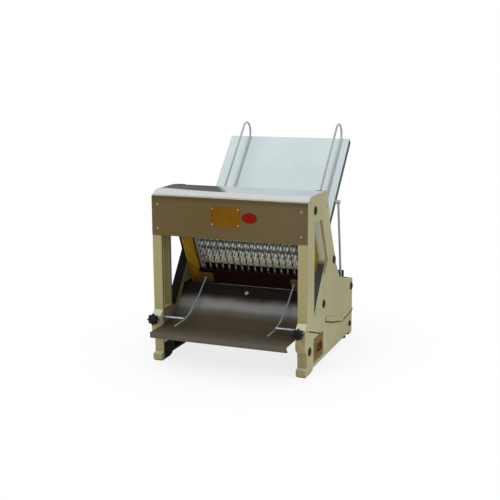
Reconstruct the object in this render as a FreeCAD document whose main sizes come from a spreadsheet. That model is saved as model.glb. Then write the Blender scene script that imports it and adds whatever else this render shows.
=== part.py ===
import FreeCAD, Part
import math
import os
from types import SimpleNamespace

import Sketcher

# Bread slicer: two cast side frames carry an inclined feed table, a bank of toothed blades
# in two frames that slide against each other, and a curved receiving tray in front.
# Lengths are millimetres.  +X is to the operator's right, +Y runs away from the operator
# and +Z is up.  While a piece is drawn, Y is counted from the front face of the legs; the
# finished model is shifted along Y so that its origin is the middle of its footprint.

SIZES = {
    # side castings
    "frame_width": 540.0,        # over the outer faces of the two castings
    "web": 10.0,                 # wall of a casting
    "flange": 32.0,              # depth of a casting's rim, along X
    "rim": 10.0,                 # width of the rim around the lightening pockets
    "frame_height": 578.0,
    "shoulder_drop": 18.0,       # the top falls this much towards the front
    "shoulder_run": 30.0,
    "top_length": 180.0,
    "frame_length": 541.0,
    "rear_height": 212.0,
    "leg_depth": 72.0,
    "foot_reach": 16.0,          # the shoe stands this far in front of the leg
    "foot_height": 25.0,
    "pad_reach": 22.0,           # clamp pad on the front of a leg
    "pad_bottom": 80.0,
    "pad_top": 160.0,
    "sole": 4.0,                 # rubber under each shoe
    "belly": 12.0,               # underside of the casting above the floor
    "heel_length": 35.0,
    "rib_proud": 4.0,            # slanting rib on the outer face
    "corner_radius": 28.0,
    "kite_radius": 12.0,
    # blade bank
    "blade_tilt": 27.0,          # degrees from upright
    "bank_y": 219.3,             # point of the cutting plane level with the loaf's base
    "bank_z": 301.0,
    "blade_count": 31.0,
    "slice": 12.0,               # pitch of the blades
    "blade_width": 12.0,
    "blade_thickness": 0.6,
    "blade_low": -82.0,
    "blade_high": 242.0,
    "teeth_low": -40.0,
    "tooth_pitch": 24.0,
    "tooth_depth": 4.0,
    "teeth": 10.0,
    "row_gap": 18.0,             # between the planes of the two blade frames
    "bar_thick": 12.0,                # thickness of a blade frame's bars
    "bar_height": 20.0,
    "bar_low": -88.0,            # lower edge of the lower bars
    "bar_high": 250.0,           # upper edge of the upper bars
    "rail_x": 188.0,             # side rails of the blade frames
    "rail_radius": 4.0,
    "slot_depth": 11.0,          # the bars' ends run this deep in the guide posts
    "running": 0.08,             # clearance of a sliding or turning fit
    "gap": 0.4,                  # clearance between pieces that only pass each other
    # guide posts and sill
    "post_inner": 195.0,
    "post_front": 19.0,
    "post_low": -80.0,
    "post_high": 255.0,
    "sill_front": 27.0,
    "sill_back": 17.0,
    "sill_low": -72.0,
    "sill_high": -14.0,
    "sill_block": 50.0,
    # drive
    "crank_drop": 232.0,         # crankshaft below the cutting point, along the blades
    "throw": 12.0,               # eccentricity: half the blades' stroke
    "shaft_radius": 12.5,
    "eccentric_radius": 30.0,
    "strap_wall": 9.0,
    "rod_thickness": 16.0,
    "small_end_drop": 128.0,
    "small_end_radius": 13.0,
    "lug_thickness": 10.0,
    "front_rod_x": 100.0,
    "rear_rod_x": 140.0,
    "crank_pulley_radius": 70.0,
    "motor_pulley_radius": 28.0,
    "pulley_x": 200.0,
    "pulley_width": 16.0,
    "motor_y": 445.0,
    "motor_z": 100.0,
    "motor_radius": 60.0,
    "motor_length": 190.0,
    "motor_shaft_radius": 9.5,
    "belt": 8.0,
    # feed table
    "table_slope": 47.2,         # degrees from level
    "table_width": 465.0,
    "table_length": 548.0,
    "table_sheet": 1.5,
    "table_flange": 23.0,
    "table_gap": 17.0,           # the table's end behind the middle of the blade bank
    "table_rise": 2.3,
    "notch_length": 16.0,
    "notch_width": 188.0,
    # loaf guides
    "wire": 4.0,                 # radius of a loaf guide's wire
    "loop_radius": 50.0,
    "loop_drop": 28.0,
    "loaf_right_x": 203.0,
    "loaf_left_x": -155.0,
    "lower_leg_end": 30.0,
    "upper_leg_end": 100.0,
    "guide_rod_y": 209.0,
    "guide_rod_z": 522.0,
    "guide_rod_radius": 6.0,
    "carrier": 24.0,
    # cover
    "cover_sheet": 1.5,
    "cover_bottom": 431.0,
    "cover_top_front": 565.0,
    "cover_run": 34.0,
    "top_plate_back": 165.0,
    # tray
    "tray_sheet": 1.5,
    "tray_half_width": 236.5,
    "tray_front": -100.0,
    "tray_level": 126.0,
    "tray_lip": 17.0,
    "tray_lip_return": 12.0,
    "tray_flat_end": -10.0,
    "tray_radius": 190.0,
    "tray_slope": 42.0,
    "tray_run": 90.0,
    # tray guides and star knobs
    "guide_x": 162.0,
    "guide_wire": 3.0,
    "stem_radius": 4.0,
    "stem_y": 2.0,
    "stem_z": 152.0,
    "knob_x": 254.0,
    "knob_radius": 19.5,
    "knob_waist": 14.5,          # radius between two lobes
    "knob_back": 31.0,
    "knob_front": 53.0,
    # caps and rods
    "tie_radius": 9.0,
    "cap_radius": 15.0,
    "cap_proud": 6.0,
    # badge
    "badge_length": 52.0,
    "badge_height": 34.0,
    # switch and cable entry
    "switch_y": 121.5,
    "switch_z": 67.0,
    "switch_length": 100.0,
    "switch_height": 78.0,
    "switch_plate": 2.0,
    "rocker_length": 48.0,
    "rocker_height": 28.0,
    "rocker_tilt": 9.0,          # degrees each way from level
    "gland_y": 508.0,
    "gland_z": 43.5,
    "cable_radius": 4.25,
    "gland_radius": 8.0,
    # rear cover
    "cover_back_sheet": 1.5,
    "cover_back_height": 236.0,
    "cover_back_depth": 104.0,
}


class Dim:
    """A number together with the sheet expression that gives it."""

    def __init__(self, value, text):
        self.value = float(value)
        self.text = text

    @staticmethod
    def of(other):
        if isinstance(other, Dim):
            return other
        return Dim(other, "(%.6f)" % other)

    def join(self, other, sign, value):
        return Dim(value, "(%s %s %s)" % (self.text, sign, Dim.of(other).text))

    def __add__(self, other):
        return self.join(other, "+", self.value + Dim.of(other).value)

    def __sub__(self, other):
        return self.join(other, "-", self.value - Dim.of(other).value)

    def __mul__(self, other):
        return self.join(other, "*", self.value * Dim.of(other).value)

    def __truediv__(self, other):
        return self.join(other, "/", self.value / Dim.of(other).value)

    def __radd__(self, other):
        return Dim.of(other) + self

    def __rsub__(self, other):
        return Dim.of(other) - self

    def __rmul__(self, other):
        return Dim.of(other) * self

    def __neg__(self):
        return Dim(-self.value, "(0 - %s)" % self.text)

    def __float__(self):
        return self.value


def sine(angle):
    return Dim(math.sin(math.radians(angle.value)), "sin(%s)" % angle.text)


def cosine(angle):
    return Dim(math.cos(math.radians(angle.value)), "cos(%s)" % angle.text)


doc = FreeCAD.newDocument("BreadSlicer")
sheet = doc.addObject("Spreadsheet::Sheet", "Sizes")
for row, (alias, size) in enumerate(SIZES.items(), start=1):
    sheet.set("A%d" % row, alias)
    sheet.set("B%d" % row, repr(size))
    sheet.setAlias("B%d" % row, alias)
doc.recompute()
s = SimpleNamespace(**{alias: Dim(size, "Sizes." + alias) for alias, size in SIZES.items()})

VECTOR = FreeCAD.Vector
X_AXIS = VECTOR(1, 0, 0)
Z_AXIS = VECTOR(0, 0, 1)
ORIGIN = VECTOR(0, 0, 0)
parts = []

# ---------------------------------------------------------------- places that pieces share

HALF = s.frame_width / 2
INNER = HALF - s.flange                      # inner face of a casting's rim
WEB_FACE = HALF - s.web                      # inner face of a casting's wall

BANK_SIN = sine(s.blade_tilt)
BANK_COS = cosine(s.blade_tilt)
TABLE_SIN = sine(s.table_slope)
TABLE_COS = cosine(s.table_slope)


def bank_point(depth, rise):
    """Y and Z of a point of the blade bank: depth behind its middle plane, rise along it."""
    y = s.bank_y + depth * BANK_COS - rise * BANK_SIN
    z = s.bank_z + depth * BANK_SIN + rise * BANK_COS
    return y, z


TABLE_END = bank_point(s.table_gap, s.table_rise)


def table_point(run, height):
    """Y and Z of a point run up the feed table from its lower end, height above it."""
    y = TABLE_END[0] + run * TABLE_COS - height * TABLE_SIN
    z = TABLE_END[1] + run * TABLE_SIN + height * TABLE_COS
    return y, z


ROW = s.row_gap / 2
CRANK = bank_point(Dim.of(0), -s.crank_drop)
MOTOR = (s.motor_y, s.motor_z)
TABLE_BACK = table_point(s.table_length, -s.table_flange)[0]
TRAY_FRONT = s.tray_front - s.tray_sheet
MIDDLE = (TABLE_BACK + TRAY_FRONT) / 2       # becomes Y = 0 of the finished model

# cap positions on the side of a casting
CAP_TOP = (Dim.of(76), Dim.of(529))
CAP_TABLE = table_point(Dim.of(53), -s.table_flange - s.tie_radius)
CAP_TRAY = (Dim.of(178), Dim.of(199))
CAP_REAR = (Dim.of(524), Dim.of(182))
CAP_LEG = (Dim.of(27), Dim.of(77))
TIES = [CAP_TOP, CAP_TABLE, CAP_TRAY, CAP_REAR]
STRUT_TOP_RUN = Dim.of(276)
STRUT_FOOT_Y = Dim.of(475)
SEAT_RISE = Dim.of(7.5)                      # seat of a strut above the rear block's back end

# ---------------------------------------------------------------- drawing helpers


def bind(obj, prop, dim):
    dim = Dim.of(dim)
    obj.setExpression(prop, dim.text)


def place(obj, y=0.0, z=0.0, x=0.0, tilt=None):
    """Set a piece down, its drawing turned by tilt degrees about X, in the shifted frame."""
    y = Dim.of(y) - MIDDLE
    x, z = Dim.of(x), Dim.of(z)
    angle = tilt.value if tilt is not None else 0.0
    turn = FreeCAD.Rotation(X_AXIS, angle)
    obj.Placement = FreeCAD.Placement(VECTOR(x.value, y.value, z.value), turn)
    bind(obj, "Placement.Base.x", x)
    bind(obj, "Placement.Base.y", y)
    bind(obj, "Placement.Base.z", z)
    if tilt is not None:
        bind(obj, "Placement.Rotation.Angle", tilt)


def keep(obj, label):
    """Name a finished sub-part."""
    obj.Label = label
    parts.append(obj)
    return obj


def new_body(label, y=0.0, z=0.0, x=0.0, tilt=None):
    body = doc.addObject("PartDesign::Body", label + "_body")
    keep(body, label)
    place(body, y, z, x, tilt)
    return body


def plane_of(body, role):
    return [f for f in body.Origin.OriginFeatures if f.Role == role][0]


def new_sketch(body, role, offset=0.0):
    """A sketch on one of the body's own planes, moved along that plane's normal."""
    sketch = body.newObject("Sketcher::SketchObject", "Outline")
    sketch.AttachmentSupport = (plane_of(body, role), [""])
    sketch.MapMode = "FlatFace"
    offset = Dim.of(offset)
    sketch.AttachmentOffset = FreeCAD.Placement(VECTOR(0, 0, offset.value), FreeCAD.Rotation())
    bind(sketch, "AttachmentOffset.Base.z", offset)
    return sketch


def fix(sketch, kind, geo, pos, dim):
    """Measure one coordinate of a point of the sketch from the sketch's origin."""
    dim = Dim.of(dim)
    index = sketch.addConstraint(Sketcher.Constraint(kind, -1, 1, geo, pos, dim.value))
    sketch.setExpression("Constraints[%d]" % index, dim.text)


def circle(sketch, u, v, radius):
    u, v, radius = Dim.of(u), Dim.of(v), Dim.of(radius)
    ring = Part.Circle(VECTOR(u.value, v.value, 0), Z_AXIS, radius.value)
    geo = sketch.addGeometry(ring, False)
    fix(sketch, "DistanceX", geo, 3, u)
    fix(sketch, "DistanceY", geo, 3, v)
    index = sketch.addConstraint(Sketcher.Constraint("Radius", geo, radius.value))
    sketch.setExpression("Constraints[%d]" % index, radius.text)


def loop(sketch, corners):
    """A closed outline.  A corner is (u, v), or (u, v, (cu, cv, r, ccw)) where the stretch
    that follows it is an arc about (cu, cv) of radius r."""
    points = [(Dim.of(c[0]), Dim.of(c[1])) for c in corners]
    count = len(corners)
    ends = []
    for i, corner in enumerate(corners):
        a, b = points[i], points[(i + 1) % count]
        start = VECTOR(a[0].value, a[1].value, 0)
        finish = VECTOR(b[0].value, b[1].value, 0)
        if len(corner) == 2:
            geo = sketch.addGeometry(Part.LineSegment(start, finish), False)
            ends.append((geo, 1, 2))
            continue
        cu, cv, radius, ccw = corner[2]
        centre = VECTOR(float(cu), float(cv), 0)
        first, last = (start, finish) if ccw else (finish, start)
        a0 = math.atan2(first.y - centre.y, first.x - centre.x)
        a1 = math.atan2(last.y - centre.y, last.x - centre.x)
        whole = Part.Circle(centre, Z_AXIS, float(radius))
        geo = sketch.addGeometry(Part.ArcOfCircle(whole, a0, a1), False)
        ends.append((geo, 1, 2) if ccw else (geo, 2, 1))
        index = sketch.addConstraint(Sketcher.Constraint("Radius", geo, float(radius)))
        sketch.setExpression("Constraints[%d]" % index, Dim.of(radius).text)
    for i in range(count):
        geo, pos = ends[i][0], ends[i][1]
        before = ends[i - 1]
        sketch.addConstraint(Sketcher.Constraint("Coincident", before[0], before[2], geo, pos))
        fix(sketch, "DistanceX", geo, pos, points[i][0])
        fix(sketch, "DistanceY", geo, pos, points[i][1])


def rectangle(sketch, u0, v0, u1, v1):
    loop(sketch, [(u0, v0), (u1, v0), (u1, v1), (u0, v1)])


def feature(body, kind, sketch, length, reverse=False):
    """A Pad or Pocket of a sketch; a Pocket has to take material away."""
    before = body.Shape.Volume if body.Tip else 0.0
    item = body.newObject("PartDesign::" + kind, kind)
    item.Profile = sketch
    item.Reversed = reverse
    length = Dim.of(length)
    item.Length = length.value
    bind(item, "Length", length)
    sketch.Visibility = False
    doc.recompute()
    if kind == "Pocket" and body.Shape.Volume > before - 1e-3:
        raise RuntimeError("%s: a pocket cuts nothing" % body.Label)
    return item


def edges_at(shape, spots, tolerance=0.6):
    """Names of the straight edges along X that pass through the given (Y, Z) spots."""
    names = []
    for index, edge in enumerate(shape.Edges, start=1):
        if len(edge.Vertexes) != 2 or abs(edge.tangentAt(edge.FirstParameter).x) < 0.99:
            continue
        middle = edge.CenterOfMass
        for y, z in spots:
            if math.hypot(middle.y - float(y), middle.z - float(z)) < tolerance:
                names.append("Edge%d" % index)
    return names


def fillet(body, names, radius):
    base = body.Tip
    item = body.newObject("PartDesign::Fillet", "Fillet")
    item.Base = (base, names)
    item.Radius = Dim.of(radius).value
    bind(item, "Radius", radius)
    doc.recompute()
    return item


def solid(shape, label, y=0.0, z=0.0, x=0.0, tilt=None):
    """A sub-part whose shape is worked out directly from the sizes."""
    obj = doc.addObject("Part::Feature", label + "_solid")
    obj.Shape = shape
    keep(obj, label)
    place(obj, y, z, x, tilt)
    return obj


def box(x0, y0, z0, x1, y1, z1):
    values = [float(v) for v in (x0, y0, z0, x1, y1, z1)]
    size = [values[3] - values[0], values[4] - values[1], values[5] - values[2]]
    return Part.makeBox(size[0], size[1], size[2], VECTOR(*values[:3]))


def rod(x0, x1, y, z, radius):
    """A bar of round section along X."""
    start = VECTOR(float(x0), float(y), float(z))
    return Part.makeCylinder(float(radius), float(x1) - float(x0), start, X_AXIS)


def mirrored(shape):
    return shape.mirror(ORIGIN, X_AXIS)


WIRE_FLATS = 12                              # sides of a bent wire's section


def wire_bar(points, radius, bends):
    """A bent wire: straight runs through the points, each corner rounded to its bend radius.
    Its section has many flats in place of a circle, which keeps long bends light."""
    spots = [VECTOR(*[float(c) for c in p]) for p in points]
    edges = []
    start = spots[0]
    for i in range(1, len(spots) - 1):
        back = (spots[i - 1] - spots[i]).normalize()
        ahead = (spots[i + 1] - spots[i]).normalize()
        half = back.getAngle(ahead) / 2
        reach = float(bends[i - 1]) / math.tan(half)
        first = spots[i] + back * reach
        last = spots[i] + ahead * reach
        middle = (back + ahead).normalize()
        centre = spots[i] + middle * (float(bends[i - 1]) / math.sin(half))
        top = centre - middle * float(bends[i - 1])
        if (first - start).Length > 1e-6:
            edges.append(Part.LineSegment(start, first).toShape())
        edges.append(Part.Arc(first, top, last).toShape())
        start = last
    edges.append(Part.LineSegment(start, spots[-1]).toShape())
    path = Part.Wire(edges)
    tangent = (spots[1] - spots[0]).normalize()
    across = X_AXIS
    upward = tangent.cross(across).normalize()
    corners = []
    for i in range(WIRE_FLATS):
        turn = 2 * math.pi * (i + 0.5) / WIRE_FLATS
        spoke = across * math.cos(turn) + upward * math.sin(turn)
        corners.append(spots[0] + spoke * float(radius))
    ring = Part.makePolygon(corners + corners[:1])
    return path.makePipeShell([ring], True, False)


# ---------------------------------------------------------------- side castings


def side_outline():
    """Outer profile of a side casting, with its shoe, clamp pad, arm and rear block."""
    top = s.frame_height
    pad_round = s.pad_reach
    return [
        (-s.foot_reach, s.sole),
        (Dim.of(60), s.sole),
        (Dim.of(67), s.belly),
        (s.frame_length - s.heel_length, s.belly),
        (s.frame_length - s.heel_length, s.sole),
        (s.frame_length, s.sole),
        (s.frame_length, s.rear_height),
        (STRUT_FOOT_Y + 34, s.rear_height),
        (STRUT_FOOT_Y + 14, s.rear_height + SEAT_RISE),
        (STRUT_FOOT_Y - 14, s.rear_height + SEAT_RISE),
        (Dim.of(439), s.rear_height + 20),
        (Dim.of(371), s.rear_height + 37),
        (Dim.of(327), Dim.of(301)),
        (Dim.of(304), Dim.of(344)),
        (Dim.of(247), Dim.of(452)),
        (Dim.of(230), Dim.of(507)),
        (Dim.of(219), Dim.of(539)),
        (Dim.of(206), top),
        (s.shoulder_run, top),
        (Dim.of(0), top - s.shoulder_drop),
        (Dim.of(0), s.pad_top + 16),
        (-s.pad_reach, s.pad_top),
        (-s.pad_reach, s.pad_bottom + pad_round,
         (Dim.of(0), s.pad_bottom + pad_round, pad_round, True)),
        (Dim.of(0), s.pad_bottom),
        (Dim.of(0), s.foot_height + s.sole),
        (-s.foot_reach, s.foot_height),
    ]


KITE = [(s.leg_depth, Dim.of(174)), (Dim.of(98), Dim.of(174)), (Dim.of(222), Dim.of(342)),
        (Dim.of(150), Dim.of(489)), (s.leg_depth, Dim.of(489))]


def pocket_outlines():
    """Lightening pockets in the inner face, with ribs of the rim's width between them."""
    rim = s.rim
    low = s.belly + rim
    leg_back = s.leg_depth - rim
    return [
        [(rim, s.pad_top + 20), (leg_back, s.pad_top + 20), (leg_back, Dim.of(489)), (rim, Dim.of(489))],
        [(s.leg_depth + rim, low), (s.frame_length - s.heel_length - rim, low),
         (s.frame_length - rim, low + 10), (s.frame_length - rim, s.rear_height - rim),
         (Dim.of(436), s.rear_height - rim + 9), (Dim.of(370), Dim.of(233)),
         (Dim.of(170), Dim.of(233)), (Dim.of(116), Dim.of(152)), (s.leg_depth + rim, Dim.of(152))],
    ]


def side_frame(side, label):
    """One cast side frame; side is 1 on the right and -1 on the left."""
    body = new_body(label)
    right = side > 0
    inner = INNER * side
    start = inner if right else -HALF
    outline = new_sketch(body, "YZ_Plane", start)
    loop(outline, side_outline())
    feature(body, "Pad", outline, s.flange)
    tops = [(Dim.of(206), s.frame_height), (s.shoulder_run, s.frame_height)]
    fillet(body, edges_at(body.Tip.Shape, tops), s.corner_radius)
    backs = [(s.frame_length, s.rear_height), (Dim.of(439), s.rear_height + 20)]
    fillet(body, edges_at(body.Tip.Shape, backs), s.rim)
    opening = new_sketch(body, "YZ_Plane", inner)
    loop(opening, KITE)
    feature(body, "Pocket", opening, s.flange, reverse=right)
    fillet(body, edges_at(body.Tip.Shape, KITE), s.kite_radius)
    for corners in pocket_outlines():
        pocket = new_sketch(body, "YZ_Plane", inner)
        loop(pocket, corners)
        feature(body, "Pocket", pocket, s.flange - s.web, reverse=right)
    bosses = new_sketch(body, "YZ_Plane", inner if right else -WEB_FACE)
    for y, z in (CAP_TRAY, CAP_REAR, CRANK):
        circle(bosses, y, z, s.cap_radius + 3)
    feature(body, "Pad", bosses, s.flange - s.web)
    rib = new_sketch(body, "YZ_Plane", HALF if right else -HALF - s.rib_proud)
    loop(rib, [(Dim.of(197.5), Dim.of(134.6)), (Dim.of(408.6), Dim.of(79.4)),
               (s.frame_length - 4, Dim.of(88.7)), (s.frame_length - 4, Dim.of(98.7)),
               (Dim.of(404), Dim.of(96)), (Dim.of(203), Dim.of(148))])
    feature(body, "Pad", rib, s.rib_proud)
    stem = new_sketch(body, "YZ_Plane", inner)
    circle(stem, s.stem_y, s.stem_z, s.stem_radius + s.running)
    feature(body, "Pocket", stem, s.flange, reverse=right)
    if right:
        openings = new_sketch(body, "YZ_Plane", WEB_FACE)
        circle(openings, s.gland_y, s.gland_z, s.gland_radius)
        half_y, half_z = s.rocker_length / 2 + s.gap, s.rocker_height / 2 + s.gap
        rectangle(openings, s.switch_y - half_y, s.switch_z - half_z,
                  s.switch_y + half_y, s.switch_z + half_z)
        feature(body, "Pocket", openings, s.web, reverse=True)
    clamp = new_sketch(body, "XZ_Plane", s.pad_reach)
    circle(clamp, s.knob_x * side, s.stem_z, s.stem_radius + s.running)
    feature(body, "Pocket", clamp, s.pad_reach + s.stem_y)
    return body


def rubber_feet():
    """A rubber sole under each shoe and a small levelling foot near the back."""
    pieces = []
    for side in (-1, 1):
        x = (HALF - s.flange / 2) * side
        half = s.flange / 2 - 2
        front_y = (Dim.of(60) - s.foot_reach) / 2
        for y, half_y in ((front_y, Dim.of(32)), (s.frame_length - s.heel_length / 2, Dim.of(15))):
            pieces.append(box(x - half, y - half_y, 0, x + half, y + half_y, s.sole))
        spot = VECTOR(float(x), 465, 0)
        pieces.append(Part.makeCylinder(float(half), float(s.belly), spot))
    solid(Part.makeCompound(pieces), "rubber_feet")


# ---------------------------------------------------------------- rods between the castings


def tie_rods():
    """Four bars that hold the castings apart, end to end between their inner faces."""
    bars = []
    for y, z in TIES:
        bars.append(rod(-INNER, INNER, y, z, s.tie_radius))
    solid(Part.makeCompound(bars), "tie_rods")


def bolt_caps():
    """Black domed caps over the bolts that pull the castings onto the tie rods."""
    caps = []
    for y, z in TIES + [CAP_LEG]:
        base = VECTOR(float(HALF), float(y), float(z))
        radius, height = float(s.cap_radius), float(s.cap_proud)
        cap = Part.makeCone(radius, radius - height * 0.7, height, base, X_AXIS)
        caps += [cap, mirrored(cap)]
    solid(Part.makeCompound(caps), "bolt_caps")


# ---------------------------------------------------------------- front cover and top


def front_cover():
    """Stainless apron bent over the front top edge of the castings."""
    body = new_body("front_cover")
    t = s.cover_sheet
    sketch = new_sketch(body, "YZ_Plane", -HALF)
    top = s.frame_height
    knee = s.frame_height - s.shoulder_drop
    slant = t * 0.3
    loop(sketch, [(Dim.of(0), s.cover_bottom), (Dim.of(0), knee), (s.shoulder_run, top),
                  (s.cover_run, top), (s.cover_run, top + t), (s.shoulder_run - slant, top + t),
                  (-t, knee + slant), (-t, s.cover_bottom)])
    feature(body, "Pad", sketch, s.frame_width)


def top_plate():
    """Polished plate behind the apron, flush with its top."""
    plate = doc.addObject("Part::Box", "top_plate_box")
    keep(plate, "top_plate")
    bind(plate, "Length", s.frame_width)
    bind(plate, "Width", s.top_plate_back - s.cover_run - s.gap)
    bind(plate, "Height", s.cover_sheet)
    place(plate, s.cover_run + s.gap, s.frame_height, -HALF)


SCREW_X = HALF - 21
SCREW_ROWS = (Dim.of(455), Dim.of(534))


def cover_screws():
    """Pan-head screws near the corners of the apron, their shanks in the castings."""
    pieces = []
    face = -s.cover_sheet
    for side in (-1, 1):
        for z in SCREW_ROWS:
            spot = VECTOR(float(SCREW_X) * side, float(face), float(z))
            pieces.append(Part.makeCone(5.0, 3.2, 2.4, spot, VECTOR(0, -1, 0)))
    solid(Part.makeCompound(pieces), "cover_screws")


PLATE = (Dim.of(-59), Dim.of(473), Dim.of(42), Dim.of(536))


def name_plate():
    """Plain brass-coloured plate on the apron, without lettering."""
    body = new_body("name_plate")
    sketch = new_sketch(body, "XZ_Plane", s.cover_sheet)
    x0, z0, x1, z1 = PLATE
    rectangle(sketch, x0, z0, x1, z1)
    feature(body, "Pad", sketch, 0.8)


def oval_badge():
    """Plain oval plaque beside the plate, its outline four arcs that meet smoothly."""
    body = new_body("oval_badge", -s.cover_sheet, Dim.of(505), Dim.of(75.6))
    half_x, half_z = s.badge_length / 2, s.badge_height / 2
    nose = half_z * 0.62
    reach = half_x - nose
    flat = (reach * reach + half_z * half_z - nose * nose) / (half_z - nose) / 2
    lean_x = reach * flat / (flat - nose)
    lean_z = (half_z - flat) * (-1) * nose / (flat - nose)
    low = flat - half_z
    sketch = new_sketch(body, "XZ_Plane", 0)
    loop(sketch, [
        (lean_x, lean_z, (Dim.of(0), -low, flat, True)),
        (-lean_x, lean_z, (-reach, Dim.of(0), nose, True)),
        (-lean_x, -lean_z, (Dim.of(0), low, flat, True)),
        (lean_x, -lean_z, (reach, Dim.of(0), nose, True))])
    feature(body, "Pad", sketch, 1.2)


# ---------------------------------------------------------------- blade bank


def blade_solid(x):
    """One blade: a thin strip across X whose rear edge is toothed."""
    half = s.blade_width.value / 2
    points = [(-half, s.blade_low.value), (half, s.blade_low.value), (half, s.teeth_low.value)]
    for i in range(int(s.teeth.value)):
        valley = s.teeth_low.value + (i + 0.5) * s.tooth_pitch.value
        points.append((half - s.tooth_depth.value, valley))
        points.append((half, s.teeth_low.value + (i + 1) * s.tooth_pitch.value))
    points += [(half, s.blade_high.value), (-half, s.blade_high.value)]
    start = x - s.blade_thickness.value / 2
    wire = Part.makePolygon([VECTOR(start, y, z) for y, z in points + points[:1]])
    return Part.Face(wire).extrude(X_AXIS * s.blade_thickness.value)


def blade_row(label, sign, first):
    """Every other blade of the bank, in the plane of its own frame."""
    count = int(s.blade_count.value)
    start = -(count - 1) / 2 * s.slice.value
    blades = [blade_solid(start + i * s.slice.value) for i in range(first, count, 2)]
    y, z = bank_point(ROW * sign, Dim.of(0))
    solid(Part.makeCompound(blades), label, y, z, tilt=s.blade_tilt)


def blade_bars(label, sign, rod_x):
    """Upper and lower bars of a blade frame, slotted for the blades, with the lugs that
    the connecting rods drive."""
    half = s.bar_thick / 2
    tip = s.post_inner + s.slot_depth - s.gap
    lows = (s.bar_low, s.bar_high - s.bar_height)
    bars = [box(-tip, -half, low, tip, half, low + s.bar_height) for low in lows]
    count = int(s.blade_count.value)
    start = -(count - 1) / 2 * s.slice.value
    first = 0 if sign < 0 else 1
    pitch = s.slice.value
    slot = s.blade_thickness.value / 2
    reach = s.blade_width.value / 2 + 1
    kerfs = []
    for i in range(first, count, 2):
        x = start + i * pitch
        kerfs.append(box(x - slot, -reach, s.blade_low, x + slot, reach, s.bar_low + s.bar_height + 1))
        kerfs.append(box(x - slot, -reach, s.bar_high - s.bar_height - 1, x + slot, reach, s.blade_high))
    rails = []
    for side in (-1, 1):
        spot = VECTOR(s.rail_x.value * side, 0, float(s.bar_low + s.bar_height))
        length = float(s.bar_high - s.bar_height * 2 - s.bar_low)
        rails.append(Part.makeCylinder(s.rail_radius.value, length, spot))
    lugs = []
    for side in (-1, 1):
        x0 = rod_x.value * side - (s.lug_thickness.value if side > 0 else 0)
        drop = -s.small_end_drop
        plate = box(x0, -half, drop, x0 + s.lug_thickness.value, half, s.bar_low)
        eye = rod(x0, x0 + s.lug_thickness.value, 0, drop, s.bar_thick / 2)
        lugs.append(plate.fuse(eye))
    lower = bars[0].cut(kerfs[0::2]).fuse(lugs).removeSplitter()
    upper = bars[1].cut(kerfs[1::2])
    y, z = bank_point(ROW * sign, Dim.of(0))
    solid(Part.makeCompound([lower, upper]), label + "_bars", y, z, tilt=s.blade_tilt)
    solid(Part.makeCompound(rails), label + "_rails", y, z, tilt=s.blade_tilt)


def guide_post(side, label):
    """Bearing post of brown laminate, with a groove for each blade frame."""
    y, z = bank_point(Dim.of(0), Dim.of(0))
    body = new_body(label, y, z, tilt=s.blade_tilt)
    inner, outer = s.post_inner * side, INNER * side
    sketch = new_sketch(body, "XY_Plane", s.post_low)
    if side > 0:
        rectangle(sketch, inner, -s.post_front, outer, s.post_front)
    else:
        rectangle(sketch, outer, -s.post_front, inner, s.post_front)
    feature(body, "Pad", sketch, s.post_high - s.post_low)
    grooves = new_sketch(body, "XY_Plane", s.post_high)
    floor = (s.post_inner + s.slot_depth) * side
    mouth = (s.post_inner - 1) * side
    near, far = (mouth, floor) if side > 0 else (floor, mouth)
    for sign in (-1, 1):
        middle = ROW * sign
        half = s.bar_thick / 2 + s.running
        rectangle(grooves, near, middle - half, far, middle + half)
    feature(body, "Pocket", grooves, s.post_high - s.post_low + 40)


def sill():
    """Board across the front of the bank under the loaf, with a clamp block at each end."""
    y, z = bank_point(Dim.of(0), Dim.of(0))
    board = doc.addObject("Part::Box", "sill_box")
    keep(board, "sill_board")
    bind(board, "Length", s.post_inner * 2)
    bind(board, "Width", s.sill_front - s.sill_back)
    bind(board, "Height", s.sill_high - s.sill_low)
    y0, z0 = bank_point(-s.sill_front, s.sill_low)
    place(board, y0, z0, -s.post_inner, tilt=s.blade_tilt)
    blocks = []
    for side in (-1, 1):
        edge = float(s.post_inner) * side
        inner = edge - float(s.sill_block) * side
        low, high = min(edge, inner), max(edge, inner)
        blocks.append(box(low, -s.sill_front - 8, s.sill_low + 12, high, -s.sill_front, s.sill_high - 10))
    solid(Part.makeCompound(blocks), "sill_blocks", y, z, tilt=s.blade_tilt)


# ---------------------------------------------------------------- crank drive


def crankshaft():
    """Shaft across the machine with an eccentric for each of the four rods."""
    y, z = CRANK
    bar = rod(-INNER + s.gap, INNER - s.gap, 0, 0, s.shaft_radius)
    solid(bar, "crankshaft", y, z, tilt=s.blade_tilt)
    discs = []
    for rod_x, sign in ((s.front_rod_x, -1), (s.rear_rod_x, 1)):
        for side in (-1, 1):
            near = rod_x.value * side + s.gap.value * side
            far = near + s.rod_thickness.value * side
            x0, x1 = min(near, far), max(near, far)
            disc = rod(x0, x1, s.throw.value * sign, 0, s.eccentric_radius)
            discs.append(disc.cut(rod(x0 - 1, x1 + 1, 0, 0, s.shaft_radius)))
    solid(Part.makeCompound(discs), "eccentrics", y, z, tilt=s.blade_tilt)


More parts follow.
